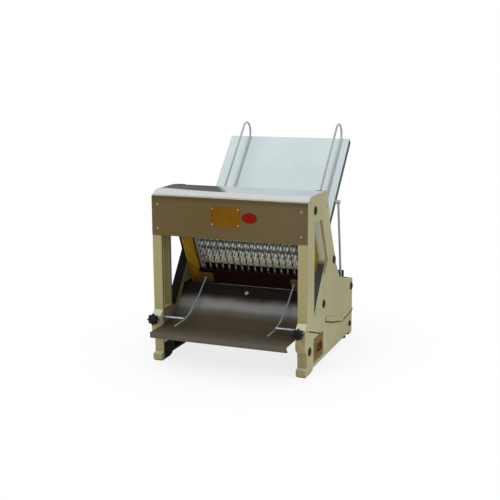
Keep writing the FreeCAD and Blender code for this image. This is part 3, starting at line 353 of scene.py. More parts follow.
@dataclass(frozen=True)
class CastEnamel(Finish):
    """Enamel on a sand casting: cloudy cream outside with painted light and shade, black inside the
    machine.
    """

    cloud: Pattern = (5.0, 4.0)
    stops: Range = (0.3, 0.66)
    wear: Pattern = (30.0, 3.0)
    depth: float = 0.00025
    strength: float = 0.6
    edge: float = 0.0022
    # Faces towards the front are painted darker as painted shade, and faces looking up paler as
    # painted light.
    front: Colour = (0.33, 0.28, 0.13)
    pale: Colour = (0.56, 0.6, 0.4)
    inside: Colour = (0.008, 0.007, 0.006)
    # The inner faces of the legs are painted darker brown as painted shade.
    rim: Colour = (0.16, 0.125, 0.06)
    # The right window's reveal is painted dark below as painted shade and pale above as painted
    # light.
    reveal_shade: Colour = (0.062, 0.067, 0.064)
    reveal_light: Colour = (0.6, 0.6, 0.5)
    wall_x: Range = (0.2609, 0.2605)
    rim_x: float = 0.2385
    rim_y: Range = (-0.2589, -0.2571)
    # Below this height the inner faces of the legs are black.
    low_black_z: Range = (0.12, 0.118)
    pale_below: float = 0.3
    leg_back_y: Range = (-0.187, -0.1862)
    post_y: Range = (-0.03, -0.033)
    window_foot: Range = (0.165, 0.168)
    window_head: Range = (0.492, 0.49)
    left_x: Range = (-0.2, -0.201)
    right_x: Range = (0.2, 0.201)
    reveal_light_z: Range = (0.325, 0.345)

    def tone(self, s: Surface) -> Socket:
        """Lay cream with painted shade in front, painted light on top and painted shade on the
        inner rim, blacken the inside, paint light and shade on the windows.

        Args:
            s: The material being made.

        Returns:
            The colour socket.
        """
        x, y, z = (s.along(axis) for axis in Axis)
        across, behind_leg = s.sum("ABSOLUTE", x), s.span(y, *self.leg_back_y)
        streak = s.span(s.noise(14.0, 3.0, 0.6, (1.0, 1.0, 0.12)), 0.42, 0.75, 0.0, 0.25)
        body = s.blend(streak, super().tone(s), self.shade)
        # Painted shade on faces towards the front.
        body = s.blend(s.span(s.facing(Axis.Y), -0.5, -0.9, 0.0, 0.85), body, self.front)
        # Painted light on faces looking up, low down.
        upward = s.span(s.facing(Axis.Z), 0.35, 0.75)
        body = s.blend(s.both(upward, s.sum("LESS_THAN", z, self.pale_below)), body, self.pale)
        body = s.blend(s.both(s.span(across, *self.wall_x), behind_leg), body, self.inside)
        # Painted shade on the inner faces of the legs.
        rim = s.both(s.sum("LESS_THAN", across, self.rim_x), s.span(y, *self.rim_y))
        body = s.blend(rim, body, self.rim)
        window = s.both(behind_leg, s.span(y, *self.post_y), s.span(z, *self.window_foot),
                        s.span(z, *self.window_head),
                        s.span(s.sum("ABSOLUTE", s.facing(Axis.X)), 0.4, 0.2))
        # Painted shade low and painted light high on the right window's reveal.
        right = s.both(window, s.span(x, *self.right_x), s.span(x, *self.wall_x))
        body = s.blend(right, body, s.blend(s.span(z, *self.reveal_light_z), self.reveal_shade, self.reveal_light))
        # Black low on the inner faces of the legs, and black on the left window's reveal as painted
        # shade.
        black = s.sum("MAXIMUM", s.both(rim, s.span(z, *self.low_black_z)),
                      s.both(window, s.span(x, *self.left_x)))
        return s.blend(black, body, self.inside)

    def grained(self, s: Surface) -> Socket:
        """Return the sand's grain on soft waves."""
        return s.weighed([(s.noise(24.0, 2.0), 2.0), (s.noise(260.0, 3.0), 1.0)])


@dataclass(frozen=True)
class Streaked(Finish):
    """A finish whose wear and relief are fine lines, drawn out along one axis."""

    wear: Pattern = ()
    grain: Pattern = (900.0, 3.0, 0.6)
    run: Axis = Axis.X
    draw: float = 0.02

    def grained(self, s: Surface) -> Socket:
        """Return the lines."""
        return s.noise(*self.grain, drawn_out(self.run, self.draw))


@dataclass(frozen=True)
class Steel(Streaked):
    """Bright, brushed or ground metal."""

    metal: float = 0.35
    stops: Range = (0.36, 0.62)
    wear_range: Range = (0.25, 0.75)
    swing: Range = (-0.06, 0.1)
    depth: float = 0.00002
    edge: float = 0.0006

    def clouded(self, s: Surface) -> Socket:
        """Return the brush marks together with clouds."""
        return s.weighed([(self.grained(s), 0.45), (s.noise(7.0, 3.0), 0.55)])


@dataclass(frozen=True)
class BandedSteel(Steel):
    """Brushed sheet whose tone changes in soft stripes across it, painted as the reflections a bent
    sheet shows.
    """

    reflection_bands: tuple[tuple[float, Colour], ...] = ()
    across: Axis = Axis.Y
    extent: Range = (0.0, 1.0)
    drift: float = 0.06

    def tone(self, s: Surface) -> Socket:
        """Lay the painted reflections, let them wander a little, and brush them.

        Args:
            s: The material being made.

        Returns:
            The colour socket.
        """
        cloud = s.noise(7.0, 4.0, 0.55, (1.0, 1.4, 1.0))
        run = s.span(s.along(self.across), *self.extent)
        # Painted reflection: stripes of tone across the sheet.
        reflection_bands = s.ramp(s.weighed([(run, 1.0), (cloud, self.drift)], -self.drift / 2), self.reflection_bands)
        return s.blend(s.span(self.grained(s), 0.3, 0.8, 0.0, 0.18), reflection_bands, self.colour)


@dataclass(frozen=True)
class ApronSteel(BandedSteel):
    """Apron sheet: brushed front painted brown as painted reflection, under a fold at its top
    painted bright as a painted highlight.
    """

    # The fold is painted bright in two steps as painted highlight, with painted shade where the
    # bend starts.
    hem_highlight: Colour = (0.36, 0.35, 0.27)
    crest_highlight: Colour = (0.53, 0.55, 0.54)
    bend_shade_z: Range = (0.5433, 0.5553)
    hem_z: Range = (0.5623, 0.5633)
    crest_z: Range = (0.5645, 0.5685)
    wander: float = 0.004

    def tone(self, s: Surface) -> Socket:
        """Paint a highlight on the fold in two steps, with a line of painted shade where it starts.

        Args:
            s: The material being made.

        Returns:
            The colour socket.
        """
        cloud = s.noise(9.0, 3.0, 0.5, (1.0, 0.1, 0.1))
        z = s.weighed([(s.along(Axis.Z), 1.0), (cloud, self.wander)], -self.wander / 2)
        # Painted highlight on the fold.
        fold = s.blend(s.span(z, *self.crest_z), self.hem_highlight, self.crest_highlight)
        # Painted shade where the bend starts.
        bend_shade = s.blend(s.span(z, *self.bend_shade_z, 0.0, 0.45), super().tone(s), self.shade)
        return s.blend(s.span(z, *self.hem_z), bend_shade, fold)


@dataclass(frozen=True)
class TopSteel(Steel):
    """Polished top: bright folded edge painted greyer than the top as painted reflection, and a
    painted dark reflection at the left rear.

    The reflection's edges are lines, each with its share of x, of y and of a cloud, and a start.
    """

    # Painted reflection: the dark and the sheen at the left rear, and the greyer fold.
    dark: Colour = (0.075, 0.08, 0.075)
    sheen: Colour = (0.115, 0.12, 0.115)
    fold: Colour = (0.42, 0.44, 0.4)
    fold_y: Range = (-0.2586, -0.2598)
    rear_edge: tuple[float, ...] = (0.19, 1.0, 0.008, 0.2375)
    rear: Range = (-0.006, 0.005)
    left_edge: tuple[float, ...] = (1.0, 0.578, 0.02, 0.1415)
    left: Range = (0.012, -0.014)

    def tone(self, s: Surface) -> Socket:
        """Paint a dark reflection at the left rear and paint the fold greyer than the top, as
        painted reflection.

        Args:
            s: The material being made.

        Returns:
            The colour socket.
        """
        y = s.along(Axis.Y)
        parts = (s.along(Axis.X), y, s.noise(9.0, 3.0))
        edges = ((self.rear_edge, self.rear), (self.left_edge, self.left))
        share = s.both(*(s.span(s.weighed(list(zip(parts, edge)), edge[-1]), *reach)
                         for edge, reach in edges))
        cloud = s.span(s.noise(30.0, 3.0, 0.5, (0.4, 1.5, 1.0)), 0.3, 0.8)
        body = s.blend(share, super().tone(s), s.blend(cloud, self.dark, self.sheen))
        return s.blend(s.span(y, *self.fold_y), body, self.fold)


@dataclass(frozen=True)
class BladeSteel(Steel):
    """Blade steel painted dark as painted reflection, with hollows ground along the toothed edge
    whose glints are painted bright.
    """

    # Painted highlight: the glint of the ground hollows.
    hollow_glint: Colour = (0.92, 0.93, 0.86)
    origin: Spot = (-0.041256, 0.301)
    tilt: float = math.radians(27.0)
    pitch: float = 0.024
    toothed: Range = (-0.04, 0.2)
    edge_at: float = -0.003
    swell: float = 0.0125

    def tone(self, s: Surface) -> Socket:
        """Paint a lens-shaped glint at each tooth gap and a painted highlight along the back of the
        blade.

        Args:
            s: The material being made.

        Returns:
            The colour socket.
        """
        sine, cosine = math.sin(self.tilt), math.cos(self.tilt)
        (y, z), (first, last) = self.origin, self.toothed
        places = s.along(Axis.Y), s.along(Axis.Z)
        along = s.weighed(list(zip(places, (-sine, cosine))), sine * y - cosine * z)
        across = s.weighed(list(zip(places, (cosine, sine))), -cosine * y - sine * z)
        turn = s.sum("FRACT", s.weighed([(along, 1 / self.pitch)], -first / self.pitch))
        swell = s.sum("POWER", s.sum("SINE", s.sum("MULTIPLY", turn, math.pi)), 0.9)
        depth = s.weighed([(swell, self.swell), (across, 1.0)], -self.edge_at)
        share = s.both(s.span(depth, 0.0015, 0.0025), s.sum("GREATER_THAN", along, first),
                       s.sum("LESS_THAN", along, last))
        # Painted highlight of the ground hollows over the dark painted reflection.
        return s.blend(share, super().tone(s), self.hollow_glint)


@dataclass(frozen=True)
class Laminate(Streaked):
    """Resin-bonded laminate with drawn-out streaks and a satin skin."""

    stops: Range = (0.32, 0.7)
    swing: Range = (0.0, 0.12)
    grain: Pattern = (110.0, 5.0, 0.6)
    run: Axis = Axis.Z
    draw: float = 0.06
    depth: float = 0.00015
    edge: float = 0.0008

    def clouded(self, s: Surface) -> Socket:
        """Return the streaks."""
        return self.grained(s)


@dataclass(frozen=True)
class Moulded(Finish):
    """Moulded plastic or rubber with a fine even texture."""

    cloud: Pattern = (60.0, 3.0)
    stops: Range = (0.35, 0.65)
    wear: Pattern = (90.0, 2.0)
    grain: Pattern = (900.0, 2.0)
    depth: float = 0.00006
    strength: float = 0.6
    edge: float = 0.0005


CREAM = CastEnamel("cream_cast_enamel", (0.42, 0.395, 0.235), (0.35, 0.325, 0.185), 0.5, 0.015)
# The apron's brown tone and the stripes across it are painted reflection.
APRON = ApronSteel(
    "apron_brushed_sheet", (0.165, 0.13, 0.075), (0.05, 0.036, 0.014), 0.36, 0.04, metal=0.05,
    across=Axis.X, extent=(-0.27, 0.27), drift=0.3, edge=0.0012, reflection_bands=(
        (0.00, (0.12, 0.082, 0.034)), (0.35, (0.112, 0.076, 0.03)), (0.7, (0.12, 0.086, 0.037)),
        (0.88, (0.122, 0.09, 0.042)), (1.00, (0.115, 0.085, 0.043))))
TOP_POLISH = TopSteel("polished_top", (0.52, 0.57, 0.61), (0.42, 0.46, 0.49), 0.3, 0.0, metal=0.06,
                      depth=0.000008)
GOLD = Steel("gold_foil_plate", (0.2, 0.092, 0.002), (0.12, 0.05, 0.001), 0.38, 0.05, metal=0.08)
RED_ENAMEL = Enamel("red_badge_enamel", (0.23, 0.009, 0.002), (0.17, 0.006, 0.001), 0.3, 0.05,
                    depth=0.00003, edge=0.0004)
# The blades' dark colour is painted reflection.
BLADE = BladeSteel("front_blade_steel", (0.085, 0.082, 0.06), (0.04, 0.038, 0.028), 0.35, 0.08,
                   metal=0.05, run=Axis.Z)
REAR_BLADE = replace(BLADE, name="rear_blade_steel", edge_at=0.015)
BRIGHT = Steel("bright_bar_steel", (0.42, 0.43, 0.42), (0.3, 0.31, 0.31), 0.3, 0.3)
TURNED = Steel("turned_steel", (0.33, 0.33, 0.33), (0.24, 0.24, 0.24), 0.36, 0.25)
PLATED = Steel("bright_plated_wire", (0.42, 0.45, 0.46), (0.3, 0.33, 0.34), 0.25, 0.1, metal=0.1,
               grain=(300.0, 3.0, 0.6))
GUIDE_WIRE = Steel("guide_wire", (0.3, 0.35, 0.42), (0.22, 0.26, 0.32), 0.2, 0.4, metal=0.5,
                   grain=(300.0, 3.0, 0.6))
GUNMETAL = Steel("cast_iron_black", (0.05, 0.05, 0.052), (0.03, 0.03, 0.032), 0.5, 0.2)
ALLOY = Steel("cast_alloy", (0.3, 0.3, 0.31), (0.22, 0.22, 0.23), 0.45, 0.25,
              grain=(200.0, 3.0, 0.6))
OCHRE = Laminate("ochre_laminate", (0.35, 0.2, 0.012), (0.18, 0.098, 0.005), 0.45, 0.06)
DARK_SILL = Laminate("dark_sill_laminate", (0.016, 0.005, 0.001), (0.004, 0.001, 0.0005), 0.55,
                     0.03, run=Axis.X)
SILL_END = Laminate("brown_end_block", (0.17, 0.1, 0.028), (0.07, 0.038, 0.01), 0.5, 0.05,
                    run=Axis.X)
WHITE = FoldedEnamel("white_table_enamel", (0.58, 0.655, 0.655), (0.55, 0.625, 0.63), 0.45, 0.1,
                     depth=0.00006)
BLUE_GREY = Enamel("rear_cover_enamel", (0.05, 0.052, 0.05), (0.034, 0.036, 0.036), 0.6, 0.03)
# Dark strips that stand in for the shade along the casting's grooves.
GROOVE_SHADOW = Enamel("groove_filler", (0.05, 0.04, 0.018), (0.03, 0.024, 0.01), 0.6, 0.03)
# A dark sheet that stands in for the shade under the table.
SHADE_SKIRT = ShadeSkirtEnamel("table_skirt_enamel", (0.02, 0.017, 0.013), (0.012, 0.01, 0.008), 0.6, 0.02)
MOTOR_GREY = Enamel("motor_enamel", (0.1, 0.115, 0.125), (0.07, 0.08, 0.09), 0.5, 0.2)
BLACK = Moulded("black_moulding", (0.006, 0.006, 0.006), (0.003, 0.003, 0.003), 0.35, 0.15)
RUBBER = Moulded("black_rubber", (0.014, 0.014, 0.013), (0.008, 0.008, 0.008), 0.75, 0.1,
                 depth=0.0001)
ROCKER_RED = Moulded("red_rocker", (0.105, 0.012, 0.002), (0.06, 0.005, 0.001), 0.4, 0.02)
MARK_WHITE = Moulded("mark_ink", (0.22, 0.17, 0.14), (0.18, 0.14, 0.11), 0.5, 0.05)
SWITCH_METAL = Steel("switch_plate_metal", (0.19, 0.12, 0.022), (0.125, 0.075, 0.012), 0.45, 0.02,
                     metal=0.04)
HAZEL = Moulded("brown_ring", (0.16, 0.06, 0.03), (0.1, 0.04, 0.02), 0.45, 0.15)
# The dark and bright stripes along the tray are painted reflection.
TRAY = BandedSteel(
    "tray_brushed_sheet", (0.12, 0.105, 0.075), (0.1, 0.1, 0.1), 0.3, 0.012, metal=0.03,
    extent=(-0.3606, -0.0755), drift=0.08, reflection_bands=(
        (0.00, (0.105, 0.092, 0.07)), (0.16, (0.08, 0.065, 0.045)), (0.4, (0.056, 0.043, 0.024)),
        (0.62, (0.064, 0.05, 0.028)), (0.7, (0.105, 0.098, 0.085)), (0.755, (0.22, 0.22, 0.21)),
        (0.8, (0.21, 0.21, 0.205)), (0.85, (0.05, 0.045, 0.038)), (0.88, (0.007, 0.005, 0.003)),
        (1.00, (0.004, 0.002, 0.001))))


def dress(nodes: Sequence[str], finish: Finish) -> None:
    """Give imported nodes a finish.

    Args:
        nodes: The nodes' names.
        finish: What they are made of.
    """
    for name in nodes:
        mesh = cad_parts[name].data
        mesh.materials.clear()
        mesh.materials.append(finish.material())
        log.info("%s: %s", name, finish.name)


# Meshes


SHARP_FROM = math.radians(38)
FORWARD, RIGHTWARD = (0, -1, 0), (1, 0, 0)


def add_piece(name: str, parts: Sequence[Shape], finish: Finish, replaced: str = "",
              body: str = "frame", smooth: bool = True) -> None:
    """Make a new piece and let it ride on a body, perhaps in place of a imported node.

    Args:
        name: The piece's name.
        parts: The shapes it is put together from.
        finish: What it is made of.
        replaced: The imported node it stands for, if any.
        body: The body that carries it.
        smooth: Whether its faces are shaded smoothly, except across sharp edges.
    """
    verts, faces = joined(parts)
    mesh = bpy.data.meshes.new(name)
    mesh.from_pydata(verts, [], faces)
    mesh.validate()
    work = bmesh.new()
    work.from_mesh(mesh)
    bmesh.ops.remove_doubles(work, verts=work.verts, dist=1e-6)
    bmesh.ops.recalc_face_normals(work, faces=work.faces)
    for edge in work.edges:
        edge.smooth = len(edge.link_faces) != 2 or edge.calc_face_angle(0.0) < SHARP_FROM
    work.to_mesh(mesh)
    work.free()
    for polygon in mesh.polygons:
        polygon.use_smooth = smooth
    mesh.materials.append(finish.material())
    piece = bpy.data.objects.new(name, mesh)
    bpy.context.scene.collection.objects.link(piece)
    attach(piece, body)
    if replaced:
        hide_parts(replaced)
    log.info("%s rides on %s", name, body)


def skinned(rings: Sequence[Sequence[Point]], capped: bool = True) -> Shape:
    """Join rings that have the same number of points.

    Args:
        rings: The rings, in order.
        capped: Whether the first and the last ring are closed.

    Returns:
        The points and the faces.
    """
    count = len(rings[0])
    verts = [tuple(point) for ring in rings for point in ring]
    faces = [[row + i, row + j, row + count + j, row + count + i]
             for row in range(0, len(verts) - count, count)
             for i, j in zip(range(count), (*range(1, count), 0))]
    if capped:
        faces += [list(range(count - 1, -1, -1)), list(range(len(verts) - count, len(verts)))]
    return verts, faces


def round_angles(segments: int) -> list[float]:
    """Return evenly spaced angles round a circle."""
    return [2 * math.pi * i / segments for i in range(segments)]


def turned(profile: Sequence[Spot], segments: int = 48, capped: bool = True,
           ripple: Callable[[float, float], float] = lambda radius, angle: 0.0) -> Shape:
    """Spin a profile about Z.

    Args:
        profile: Pairs of radius and height, from the bottom of the axis to the top.
        segments: Number of steps round the axis.
        capped: Whether its ends are closed.
        ripple: A change of radius that depends on the radius and the angle.

    Returns:
        The points and the faces.
    """
    rings = []
    for radius, height in profile:
        reaches = [(radius + ripple(radius, angle), angle) for angle in round_angles(segments)]
        rings.append([(reach * math.cos(a), reach * math.sin(a), height) for reach, a in reaches])
    return skinned(rings, capped)


def set_down(shape: Shape, spot: Point, facing: Point, twist: float = 0.0) -> Shape:
    """Turn a shape so that its Z looks along facing, and move it to spot.

    Args:
        shape: The points and faces.
        spot: Where their origin goes.
        facing: Where their Z goes.
        twist: Turn about that direction, in radians.

    Returns:
        The shape in its new place.
    """
    turn = Vector(facing).to_track_quat("Z", "Y").to_matrix().to_4x4()
    place = Matrix.Translation(Vector(spot)) @ turn @ Matrix.Rotation(twist, 4, "Z")
    return [tuple(place @ Vector(v)) for v in shape[0]], shape[1]


def joined(parts: Sequence[Shape]) -> Shape:
    """Put several shapes into one.

    Args:
        parts: The shapes.

    Returns:
        Their points and faces together.
    """
    verts: list[Point] = []
    faces: list[list[int]] = []
    for more, quads in parts:
        faces += [[len(verts) + i for i in quad] for quad in quads]
        verts += more
    return verts, faces


def rounded_path(points: Sequence[Point], bends: Sequence[float], steps: int) -> list[Vector]:
    """Round the corners of a line of points.

    Args:
        points: The corners, with both ends.
        bends: The radius at each inner corner.
        steps: Points along each bend.

    Returns:
        The points of the rounded line.
    """
    spots = [Vector(p) for p in points]
    line = [spots[0]]
    for before, corner, after, bend in zip(spots, spots[1:], spots[2:], bends):
        back, ahead = (before - corner).normalized(), (after - corner).normalized()
        half = back.angle(ahead) / 2
        reach = bend / math.tan(half)
        centre = corner + (back + ahead).normalized() * (bend / math.sin(half))
        first, last = corner + back * reach - centre, corner + ahead * reach - centre
        turn = first.rotation_difference(last)
        line += [centre + Matrix.Rotation(turn.angle * k / steps, 3, turn.axis) @ first
                 for k in range(steps + 1)]
    return [*line, spots[-1]]


def tube(line: Sequence[Vector], radius: float, segments: int = 16) -> Shape:
    """Lay a round wire with domed ends along a line that keeps to one plane of constant X.

    Args:
        line: Points of its middle.
        radius: The wire's radius.
        segments: Number of steps round it.

    Returns:
        The points and the faces.
    """
    runs = [(after - before).normalized()
            for before, after in zip([line[0], *line], [*line[1:], line[-1]])]
    dome = [(radius * lag, radius * (math.sin(math.acos(1 - lag)) if lag else 0.15))
            for lag in (0.0, 0.45, 0.8)]
    stations = [(line[0] + runs[0] * lag, runs[0], reach) for lag, reach in dome]
    stations += [(spot, run, radius) for spot, run in zip(line[1:-1], runs[1:-1])]
    stations += [(line[-1] - runs[-1] * lag, runs[-1], reach) for lag, reach in reversed(dome)]
    across = Vector((1, 0, 0))
    frames = [(spot, run.cross(across).normalized(), reach) for spot, run, reach in stations]
    return skinned([[spot + (across * math.cos(a) + upward * math.sin(a)) * reach
                     for a in round_angles(segments)] for spot, upward, reach in frames])


def screw_head(radius: float, height: float) -> Shape:
    """Make a pan head with a cross recess, standing on Z = 0.

    Args:
        radius: The head's radius.
        height: Its height.

    Returns:
        The points and the faces.
    """
    steps, segments = 14, 48
    arm_half, arm_end, arm_fade, fall = 0.11, 0.62, 0.75, 0.55
    rings = []
    for share in (k / steps for k in range(steps + 1)):
        ring = []
        for angle in round_angles(segments):
            x, y = share * math.cos(angle), share * math.sin(angle)
            near, far = sorted((abs(x), abs(y)))
            rise = 1 - fall * share ** 4
            if near < arm_half and far < arm_end:
                rise -= fall * (1 - far / arm_fade)
            ring.append((x * radius, y * radius, rise * height))
        rings.append(ring)
    return skinned([*rings, [(x, y, 0.0) for x, y, _ in rings[-1]]], False)


def slab(outline: Sequence[Spot], thick: float, rim: float = 0.0, lip: float = 0.0,
         wall: float = 0.0) -> Shape:
    """Make a flat plate standing on Z = 0, with a softened edge and perhaps a raised rim.

    Args:
        outline: Its corners, anticlockwise.
        thick: Its thickness.
        rim: Width of the softened edge.
        lip: How far the rim stands above the field.
        wall: Width of the raised rim.

    Returns:
        The points and the faces.
    """
    middle = Vector((sum(p[0] for p in outline), sum(p[1] for p in outline))) / len(outline)
    reach = min((Vector(p) - middle).length for p in outline)
    levels = [(0.0, 0.0), (0.0, thick - rim), (rim, thick)]
    if lip > 0:
        levels += [(wall, thick), (wall + lip, thick - lip)]
    return skinned([[(*middle.lerp(p, 1 - inset / reach), height) for p in map(Vector, outline)]
                    for inset, height in levels])


# Sub-assemblies


@dataclass
class Assembly:
    """A sub-assembly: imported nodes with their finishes, and pieces of its own."""

    wears: ClassVar[dict[Finish, Sequence[str]]] = {}

    def build(self) -> None:
        """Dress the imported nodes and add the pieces."""
        for finish, nodes in self.wears.items():
            dress(nodes, finish)
        self.add_pieces()

    def add_pieces(self) -> None:
        """Add the pieces that are made here; some sub-assemblies have none."""


@dataclass
class SideCastings(Assembly):
    """The two cast side frames with their caps, rods, soles and small screws."""

    wears = {CREAM: ["side_frame_left", "side_frame_right"], RUBBER: ["rubber_feet"],
             TURNED: ["tie_rods"]}
    cap_radius: float = 0.015
    cap_height: float = 0.0058
    half_width: float = 0.27
    same_cap: float = 0.03
    # The dark strips along the grooves are painted shade: their height, how far they stand out, and
    # where they run.
    groove: float = 0.0046
    groove_depth: float = 0.0003
    grooves: tuple[tuple[float, tuple[Spot, ...]], ...] = (
        (0.27, ((-0.064, 0.1325), (0.032, 0.1045), (0.15, 0.0785))),
        (0.274, ((0.149, 0.0822), (0.274, 0.0912))),
        (0.27, ((-0.241, 0.146), (-0.165, 0.122), (-0.108, 0.1035))))

    def spots(self, node: str) -> list[Spot]:
        """Find the middles of a node's round pieces on the right side.

        Args:
            node: The node's name.

        Returns:
            Each middle's Y and Z.
        """
        _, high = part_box(node)
        tips = [v.co.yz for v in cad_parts[node].data.vertices if v.co.x > high.x - 1e-5]
        middles = []
        while tips:
            near = [tip for tip in tips if (tip - tips[0]).length < self.same_cap]
            middles.append(tuple((max(axis) + min(axis)) / 2 for axis in zip(*near)))
            tips = [tip for tip in tips if tip not in near]
        return middles

    def on_both_sides(self, shape: Shape, node: str, twist: float = 0.0) -> list[Shape]:
        """Set a shape down at each of a node's round pieces, left and right."""
        return [set_down(shape, (self.half_width * side.value, *spot), (side.value, 0, 0), twist)
                for side in Side for spot in self.spots(node)]

    def caps(self) -> None:
        """Put a domed cap with a thin skirt over each bolt."""
        r, h = self.cap_radius, self.cap_height
        profile = [(r, 0.0), (r, h * 0.16), (r * 0.96, h * 0.26), (r * 0.9, h * 0.3)]
        profile += [(r * 0.9 * math.cos(a), h * (0.3 + 0.7 * math.sin(a)))
                    for a in map(math.radians, (12, 25, 38, 50, 62, 74, 84))]
        add_piece("domed_caps", self.on_both_sides(turned(profile, 56), "bolt_caps"), BLACK,
                  "bolt_caps")

    def rod_screws(self) -> None:
        """Put a cross-headed screw on each end of the guides' cross rod."""
        heads = self.on_both_sides(screw_head(0.0062, 0.0028), "guide_rod_screws", 0.5)
        add_piece("rod_end_screws", heads, TURNED, "guide_rod_screws")

    def shadow_lines(self) -> None:
        """Lay dark strips along the two grooves on each casting's outer face, as painted shade."""
        half = self.groove / 2
        parts = [skinned([[(x * side.value, y, z + shift) for x, shift in
                           ((face, -half), (face, half), (face + self.groove_depth, half),
                            (face + self.groove_depth, -half))] for y, z in line])
                 for side in Side for face, line in self.grooves]
        add_piece("casting_groove_fillers", parts, GROOVE_SHADOW, smooth=False)

    def add_pieces(self) -> None:
        """Add caps, rod screws and groove fillers."""
        self.caps()
        self.rod_screws()
        self.shadow_lines()


@dataclass
class ApronAndTop(Assembly):
    """Front apron, polished top plate, plate, badge and their screws."""

    wears = {APRON: ["front_cover"], TOP_POLISH: ["top_plate"]}
    screw_radius: float = 0.0038
    screw_height: float = 0.0022
    screw_inset: float = 0.005
    corner: float = 0.003
    rivet_inset: float = 0.0055

    def screws(self) -> None:
        """Put a cross-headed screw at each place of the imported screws."""
        low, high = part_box("cover_screws")
        inset = self.screw_inset
        head = screw_head(self.screw_radius, self.screw_height)
        parts = [set_down(head, (x, high.y, z), FORWARD, 0.4 + i + 2 * j)
                 for i, x in enumerate((low.x + inset, high.x - inset))
                 for j, z in enumerate((low.z + inset, high.z - inset))]
        add_piece("apron_screws", parts, TURNED, "cover_screws")

    def plate(self) -> None:
        """Make the bare plate with a raised rim, and its four rivets."""
        low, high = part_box("name_plate")
        half, middle = (high - low) / 2, (high + low) / 2
        r = self.corner
        outline = [(sx * (half.x - r) + r * math.cos(a), sz * (half.z - r) + r * math.sin(a))
                   for sx, sz, start in ((1, 1, 0), (-1, 1, 90), (-1, -1, 180), (1, -1, 270))
                   for a in (math.radians(start + 22.5 * k) for k in range(5))]
        plate = slab(outline, high.y - low.y, 0.0002, 0.0003, 0.0022)
        plate = set_down(plate, (middle.x, high.y, middle.z), FORWARD, math.pi)
        add_piece("bare_plate", [plate], GOLD, "name_plate")
        dome = turned([(0.0026, 0.0), (0.0025, 0.0005), (0.0019, 0.001), (0.0008, 0.0013)], 24)
        reach_x, reach_z = half.x - self.rivet_inset, half.z - self.rivet_inset
        spots = [(middle.x + sx * reach_x, low.y + 0.0003, middle.z + sz * reach_z)
                 for sx in (-1, 1) for sz in (-1, 1)]
        rivets = [set_down(dome, spot, FORWARD) for spot in spots]
        add_piece("plate_rivets", rivets, BRIGHT)

    def badge(self) -> None:
        """Make the bare oval badge with a thin raised rim."""
        low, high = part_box("oval_badge")
        half, middle = (high - low) / 2, (high + low) / 2
        outline = [(half.x * math.cos(a), half.z * math.sin(a)) for a in round_angles(120)]
        badge = slab(outline, high.y - low.y, 0.0004, 0.0004, 0.0022)
        badge = set_down(badge, (middle.x, high.y, middle.z), FORWARD, math.pi)
        add_piece("bare_badge", [badge], RED_ENAMEL, "oval_badge")

    def add_pieces(self) -> None:
        """Add the screws, the plate and the badge."""
        self.screws()
        self.plate()
        self.badge()


@dataclass
class BladeBank(Assembly):
    """The two frames of blades, the posts they slide in and the sill under them."""

    wears = {BLADE: ["front_blades"], REAR_BLADE: ["rear_blades"],
             BRIGHT: ["front_frame_bars", "rear_frame_bars", "front_frame_rails",
                      "rear_frame_rails"],
             OCHRE: ["guide_post_left", "guide_post_right"], DARK_SILL: ["sill_board"],
             SILL_END: ["sill_blocks"]}


@dataclass
class CrankDrive(Assembly):
    """Crankshaft, rods, pulleys, belt and motor."""

    wears = {TURNED: ["crankshaft", "motor_shaft", "motor_plate"], BRIGHT: ["eccentrics"],
             ALLOY: ["front_rods", "rear_rods"], RUBBER: ["drive_belt"], MOTOR_GREY: ["motor_body"],
             GUNMETAL: ["crank_pulley", "motor_pulley", "shaft_bearings"]}


@dataclass
class FeedTable(Assembly):
    """The sloping table, its stays, the cross rod and the loaf guides."""

    wears = {WHITE: ["feed_table"], PLATED: ["table_struts", "guide_rod"],
             BLACK: ["loaf_guide_right_carrier", "loaf_guide_left_carrier"]}
    end_y: float = -0.027153
    end_z: float = 0.310767
    slope: float = math.radians(47.2)
    wire: float = 0.0037
    low: float = 0.0044
    rise: float = 0.076
    legs: tuple[float, float, float] = (0.03, 0.1, 0.57)
    guide_x: tuple[tuple[Side, float], ...] = ((Side.RIGHT, 0.203), (Side.LEFT, -0.155))
    skirt_x: float = 0.232
    skirt_y: float = 0.018
    skirt_low: float = 0.24
    skirt_thick: float = 0.0015
    below_table: float = 0.014
    bar: float = 0.026
    bar_low: float = 0.2925
    bar_high: float = 0.3065

    def hairpin(self, side: Side, x: float) -> None:
        """Lay one loaf guide's wire.

        Args:
            side: Which guide it is.
            x: Its place across the machine.
        """
        start, tip, end = self.legs
        high = self.low + self.rise
        sine, cosine = math.sin(self.slope), math.cos(self.slope)
        points = [(x, self.end_y + run * cosine - up * sine, self.end_z + run * sine + up * cosine)
                  for run, up in ((start, self.low), (end, self.low), (end, high), (tip, high))]
        bend = self.rise / 2 - 0.00001
        name = side.name.lower()
        wire = tube(rounded_path(points, [bend, bend], 22), self.wire, 20)
        add_piece(name + "_loaf_guide_round_wire", [wire], PLATED,
                  f"loaf_guide_{name}_wire", name + "_loaf_guide")

    def skirt(self) -> None:
        """Hang a dark folded sheet with a pale bar under the table, standing in for the shade
        there, with the bar's front painted light.
        """
        y, thick, bar_y = self.skirt_y, self.skirt_thick, self.skirt_y - self.bar
        top = self.end_z + (y - self.end_y) * math.tan(self.slope) - self.below_table
        section = [(y, top), (y, self.bar_high), (bar_y, self.bar_high), (bar_y, self.bar_low),
                   (y, self.bar_low), (y, self.skirt_low), (y + thick, self.skirt_low),
                   (y + thick, top + thick)]
        sheet = skinned([[(side.value * self.skirt_x, *spot) for spot in section] for side in Side])
        add_piece("table_skirt", [sheet], SHADE_SKIRT, smooth=False)

    def add_pieces(self) -> None:
        """Add the skirt and the guides' wires."""
        self.skirt()
        for side, x in self.guide_x:
            self.hairpin(side, x)


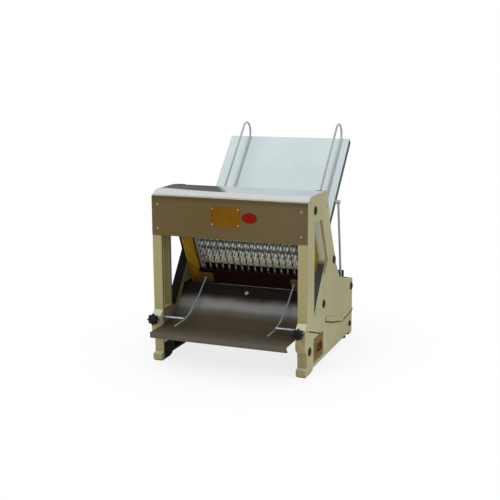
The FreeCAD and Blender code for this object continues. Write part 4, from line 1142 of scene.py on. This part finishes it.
@dataclass
class SliceTray(Assembly):
    """The curved tray, its wire guides and their star knobs."""

    wears = {TRAY: ["tray"], TURNED: ["tray_brackets", "tray_posts"]}
    guide_x: float = 0.162
    route: tuple[Spot, ...] = ((-0.325556, 0.145), (-0.260556, 0.147), (-0.214556, 0.157),
                               (-0.136556, 0.202), (-0.069556, 0.256))
    bends: tuple[float, ...] = (0.06, 0.045, 0.16)
    wire: float = 0.0028
    stem_y: float = -0.258556
    stem_z: float = 0.152
    stem_end: float = 0.269
    knob_x: float = 0.254
    knob_back: float = -0.291556
    knob_front: float = -0.313556
    knob_radius: float = 0.017
    lobes: int = 8
    lobe_height: float = 0.0024
    core_radius: float = 0.009
    screw_slope: float = math.radians(42.0)

    def guide(self, side: Side) -> None:
        """Lay one wire guide and the stem it hangs on.

        Args:
            side: Which guide it is.
        """
        name, x = side.name.lower(), self.guide_x * side.value
        line = rounded_path([(x, *spot) for spot in self.route], self.bends, 12)
        length = self.stem_end - self.guide_x
        stem = turned([(0.0022, 0.0), (0.0036, 0.0012), (0.00395, 0.004), (0.00395, length - 0.001),
                       (0.0035, length)], 24)
        stem = set_down(stem, (x, self.stem_y, self.stem_z), (side.value, 0, 0))
        add_piece(name + "_round_guide", [tube(line, self.wire), stem], GUIDE_WIRE,
                  "tray_guide_" + name, name + "_tray_guide")

    def lobed(self, radius: float, angle: float) -> float:
        """Return how far a star knob's lobes stand out at a radius and an angle."""
        swell = radius / self.knob_radius * self.lobe_height * math.cos(self.lobes * angle)
        return swell if radius >= self.core_radius else 0.0

    def knob(self, side: Side) -> None:
        """Make one star knob with rounded lobes and its stud.

        Args:
            side: Which knob it is.
        """
        name, x = side.name.lower(), self.knob_x * side.value
        r, depth = self.knob_radius, self.knob_back - self.knob_front
        profile = [(r * 0.55, 0.0), (r * 0.6, 0.002), (r * 0.9, 0.004), (r, 0.0065),
                   (r, depth - 0.006), (r * 0.95, depth - 0.003), (r * 0.84, depth - 0.0012),
                   (r * 0.6, depth - 0.0006), (r * 0.5, depth), (r * 0.1, depth)]
        star = turned(profile, 96, ripple=self.lobed)
        add_piece(name + "_lobed_knob", [set_down(star, (x, self.knob_back, self.stem_z), FORWARD)],
                  BLACK, "star_knob_" + name, name + "_star_knob")
        _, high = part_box("star_knob_" + name)
        length = high.y - self.knob_back + 0.003
        stud = turned([(0.0034, 0.0), (0.0039, 0.0008), (0.0039, length)], 28)
        add_piece(name + "_knob_stud", [set_down(stud, (x, high.y, self.stem_z), FORWARD)], TURNED,
                  body=name + "_star_knob")

    def screw(self) -> None:
        """Put a washer and a cross-headed screw in the slope of the tray."""
        low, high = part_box("tray_screw")
        up = Vector((0.0, -math.sin(self.screw_slope), math.cos(self.screw_slope)))
        base = (low + high) / 2 - up * 0.0016
        washer = turned([(0.0068, 0.0), (0.0068, 0.0011), (0.0064, 0.0015), (0.005, 0.0016)], 40)
        parts = [set_down(washer, base, up),
                 set_down(screw_head(0.0044, 0.0017), base + up * 0.0015, up, 0.7)]
        add_piece("tray_washer_screw", parts, BRIGHT, "tray_screw")

    def add_pieces(self) -> None:
        """Add the guides, the knobs and the screw."""
        for side in Side:
            self.guide(side)
            self.knob(side)
        self.screw()


@dataclass
class SwitchAndBack(Assembly):
    """Switch, cable gland and the folded rear cover."""

    wears = {SWITCH_METAL: ["switch_plate"], BLACK: ["switch_case", "cable_gland"],
             ROCKER_RED: ["rocker"], BLUE_GREY: ["rear_cover"]}
    plate_face: float = 0.272
    plate_screw_inset: float = 0.007
    mark_x: float = 0.0045
    mark_y: float = 0.0008
    mark_thick: float = 0.0004

    def ring(self, outer: float, inner: float, thick: float, segments: int) -> Shape:
        """Make a flat ring standing on Z = 0, open below."""
        return turned([(outer, 0.0), (outer, thick), (inner, thick), (inner, 0.0)], segments, False)

    def marks(self) -> None:
        """Put a bar and a ring on the rocker for its two states."""
        low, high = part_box("rocker")
        x, y, thick = self.mark_x, self.mark_y, self.mark_thick
        middle, face = (low.z + high.z) / 2, high.x - 0.0006
        bar = slab([(-x, -y), (x, -y), (x, y), (-x, y)], thick)
        ring = self.ring(0.004, 0.003, thick, 32)
        parts = [set_down(bar, (face, low.y + 0.01, middle), RIGHTWARD, math.pi / 2),
                 set_down(ring, (face - 0.0042, high.y - 0.011, middle), RIGHTWARD)]
        add_piece("rocker_marks", parts, MARK_WHITE, body="switch_rocker")

    def plate_screws(self) -> None:
        """Put a small screw near each of the switch plate's front corners and rear ones."""
        low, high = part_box("switch_plate")
        front, back = low.y + self.plate_screw_inset, high.y - self.plate_screw_inset
        foot, head = low.z + self.plate_screw_inset, screw_head(0.0032, 0.0013)
        spots = ((front, high.z - self.plate_screw_inset - 0.003), (back, high.z - 0.03),
                 (front, foot), (back, foot))
        parts = [set_down(head, (self.plate_face, y, z), RIGHTWARD, 0.6 + 3 * z) for y, z in spots]
        add_piece("switch_plate_screws", parts, TURNED)

    def gland_ring(self) -> None:
        """Put a brownish ring on the gland's collar."""
        low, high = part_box("cable_gland")
        ring = self.ring(0.0078, 0.0052, 0.0006, 40)
        ring = set_down(ring, (high.x - 0.0004, *((low + high) / 2).yz), RIGHTWARD)
        add_piece("gland_ring", [ring], HAZEL)

    def add_pieces(self) -> None:
        """Add the rocker's marks, the plate's screws and the gland's ring."""
        self.marks()
        self.plate_screws()
        self.gland_ring()


# Studio


@dataclass
class Lamp:
    """One soft rectangular lamp."""

    name: str
    spot: Point
    aim: Point
    size: float
    power: float
    mirrored: bool = True

    def build(self) -> None:
        """Hang the lamp and point it."""
        data = bpy.data.lights.new(self.name, "AREA")
        data.energy, data.size = self.power, self.size
        lamp = bpy.data.objects.new(self.name, data)
        lamp.location = self.spot
        lamp.rotation_mode = "QUATERNION"
        lamp.rotation_quaternion = (Vector(self.aim) - Vector(self.spot)).to_track_quat("-Z", "Y")
        lamp.visible_glossy = self.mirrored
        bpy.context.scene.collection.objects.link(lamp)


@dataclass
class Studio:
    """Floor, lights, world and camera."""

    eye: Point = (1.1395, -2.9757, 0.9976)
    right: Point = (0.93153, 0.36365, -0.00434)
    up: Point = (-0.06871, 0.18769, 0.97982)
    lens: float = 67.14
    sensor: float = 36.0
    clip: Range = (0.05, 100.0)
    floor_size: float = 60.0
    floor_tone: float = 0.92
    shadow: Range = (0.35, 0.75)
    ambient: float = 0.56
    ambient_tint: Colour = (0.97, 0.98, 1.0)
    lamps: list[Lamp] = field(default_factory=lambda: [
        Lamp("key_lamp", (-1.6, -3.2, 3.2), (0, 0, 0.3), 2.4, 68.0),
        Lamp("fill_lamp", (3.4, -1.4, 1.9), (0, 0, 0.3), 2.4, 37.0, mirrored=False),
        Lamp("top_lamp", (0.0, 1.2, 3.6), (0, 0, 0.4), 2.6, 42.0, mirrored=False),
    ])

    def camera(self) -> None:
        """Set up the camera at its measured place."""
        data = bpy.data.cameras.new("camera")
        data.lens, data.sensor_width = self.lens, self.sensor
        data.clip_start, data.clip_end = self.clip
        right, up = Vector(self.right).normalized(), Vector(self.up).normalized()
        back = right.cross(up).normalized()
        turn = Matrix((right, back.cross(right).normalized(), back)).transposed().to_4x4()
        camera = bpy.data.objects.new("camera", data)
        camera.matrix_world = Matrix.Translation(Vector(self.eye)) @ turn
        bpy.context.scene.collection.objects.link(camera)
        bpy.context.scene.camera = camera

    def seen(self, tree: Tree) -> Socket:
        """Tell rays that show the background: straight, mirrored or through glass.

        Args:
            tree: The node tree that asks.

        Returns:
            A socket that is 1 for them.
        """
        path = add_node(tree, "LightPath", {}).outputs
        rays = [path[name] for name in ("Is Camera Ray", "Is Glossy Ray", "Is Transmission Ray")]
        return reduce(lambda a, b: add_node(tree, "Math", {0: a, 1: b},
                                            operation="MAXIMUM").outputs[0], rays)

    def world(self) -> None:
        """Make it white where it is seen, and plain grey light elsewhere."""
        world = bpy.data.worlds.new("room")
        bpy.context.scene.world = world
        world.use_nodes = True
        tree = world.node_tree
        tree.nodes.clear()
        shown = add_node(tree, "Background", {"Strength": 1.0, "Color": PURE_WHITE})
        light = add_node(tree, "Background", {"Strength": self.ambient,
                                              "Color": (*self.ambient_tint, 1.0)})
        mix = add_node(tree, "MixShader", {0: self.seen(tree), 1: light.outputs[0],
                                           2: shown.outputs[0]})
        add_node(tree, "OutputWorld", {"Surface": mix.outputs[0]})

    def floor(self) -> None:
        """Lay a pale floor that keeps a soft shadow near the machine and is white beyond."""
        half = self.floor_size / 2
        mesh = bpy.data.meshes.new("floor")
        corners = [(x * half, y * half, 0) for x, y in ((-1, -1), (1, -1), (1, 1), (-1, 1))]
        mesh.from_pydata(corners, [], [(0, 1, 2, 3)])
        floor = bpy.data.objects.new("floor", mesh)
        bpy.context.scene.collection.objects.link(floor)
        s = Surface("pale_floor")
        s.set(roughness=0.9, base_color=(*[self.floor_tone] * 3, 1.0))
        glow = s.node("Emission", {"Color": PURE_WHITE, "Strength": 1.0})
        x, y = s.along(Axis.X), s.along(Axis.Y)
        away = s.sum("SQRT", s.sum("ADD", s.both(x, x), s.both(y, y)))
        share = s.both(self.seen(s.tree), s.span(away, *self.shadow, 0.8, 1.0))
        mix = s.node("MixShader", {0: share, 1: s.shader.outputs[0], 2: glow.outputs[0]})
        s.tree.links.new(mix.outputs[0], s.tree.nodes["Material Output"].inputs["Surface"])
        mesh.materials.append(s.material)

    def build(self) -> None:
        """Set the whole studio up."""
        bpy.context.scene.view_settings.view_transform = "Standard"
        self.camera()
        self.world()
        self.floor()
        for lamp in self.lamps:
            lamp.build()


def main() -> None:
    """Build and dress every sub-assembly."""
    logging.basicConfig(level=logging.INFO, format="%(name)s %(message)s")
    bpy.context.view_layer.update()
    for kind in (SideCastings, ApronAndTop, BladeBank, CrankDrive, FeedTable, SliceTray,
                 SwitchAndBack, Studio):
        kind().build()
        log.info("%s done", kind.__name__)


if __name__ == "__main__":
    main()
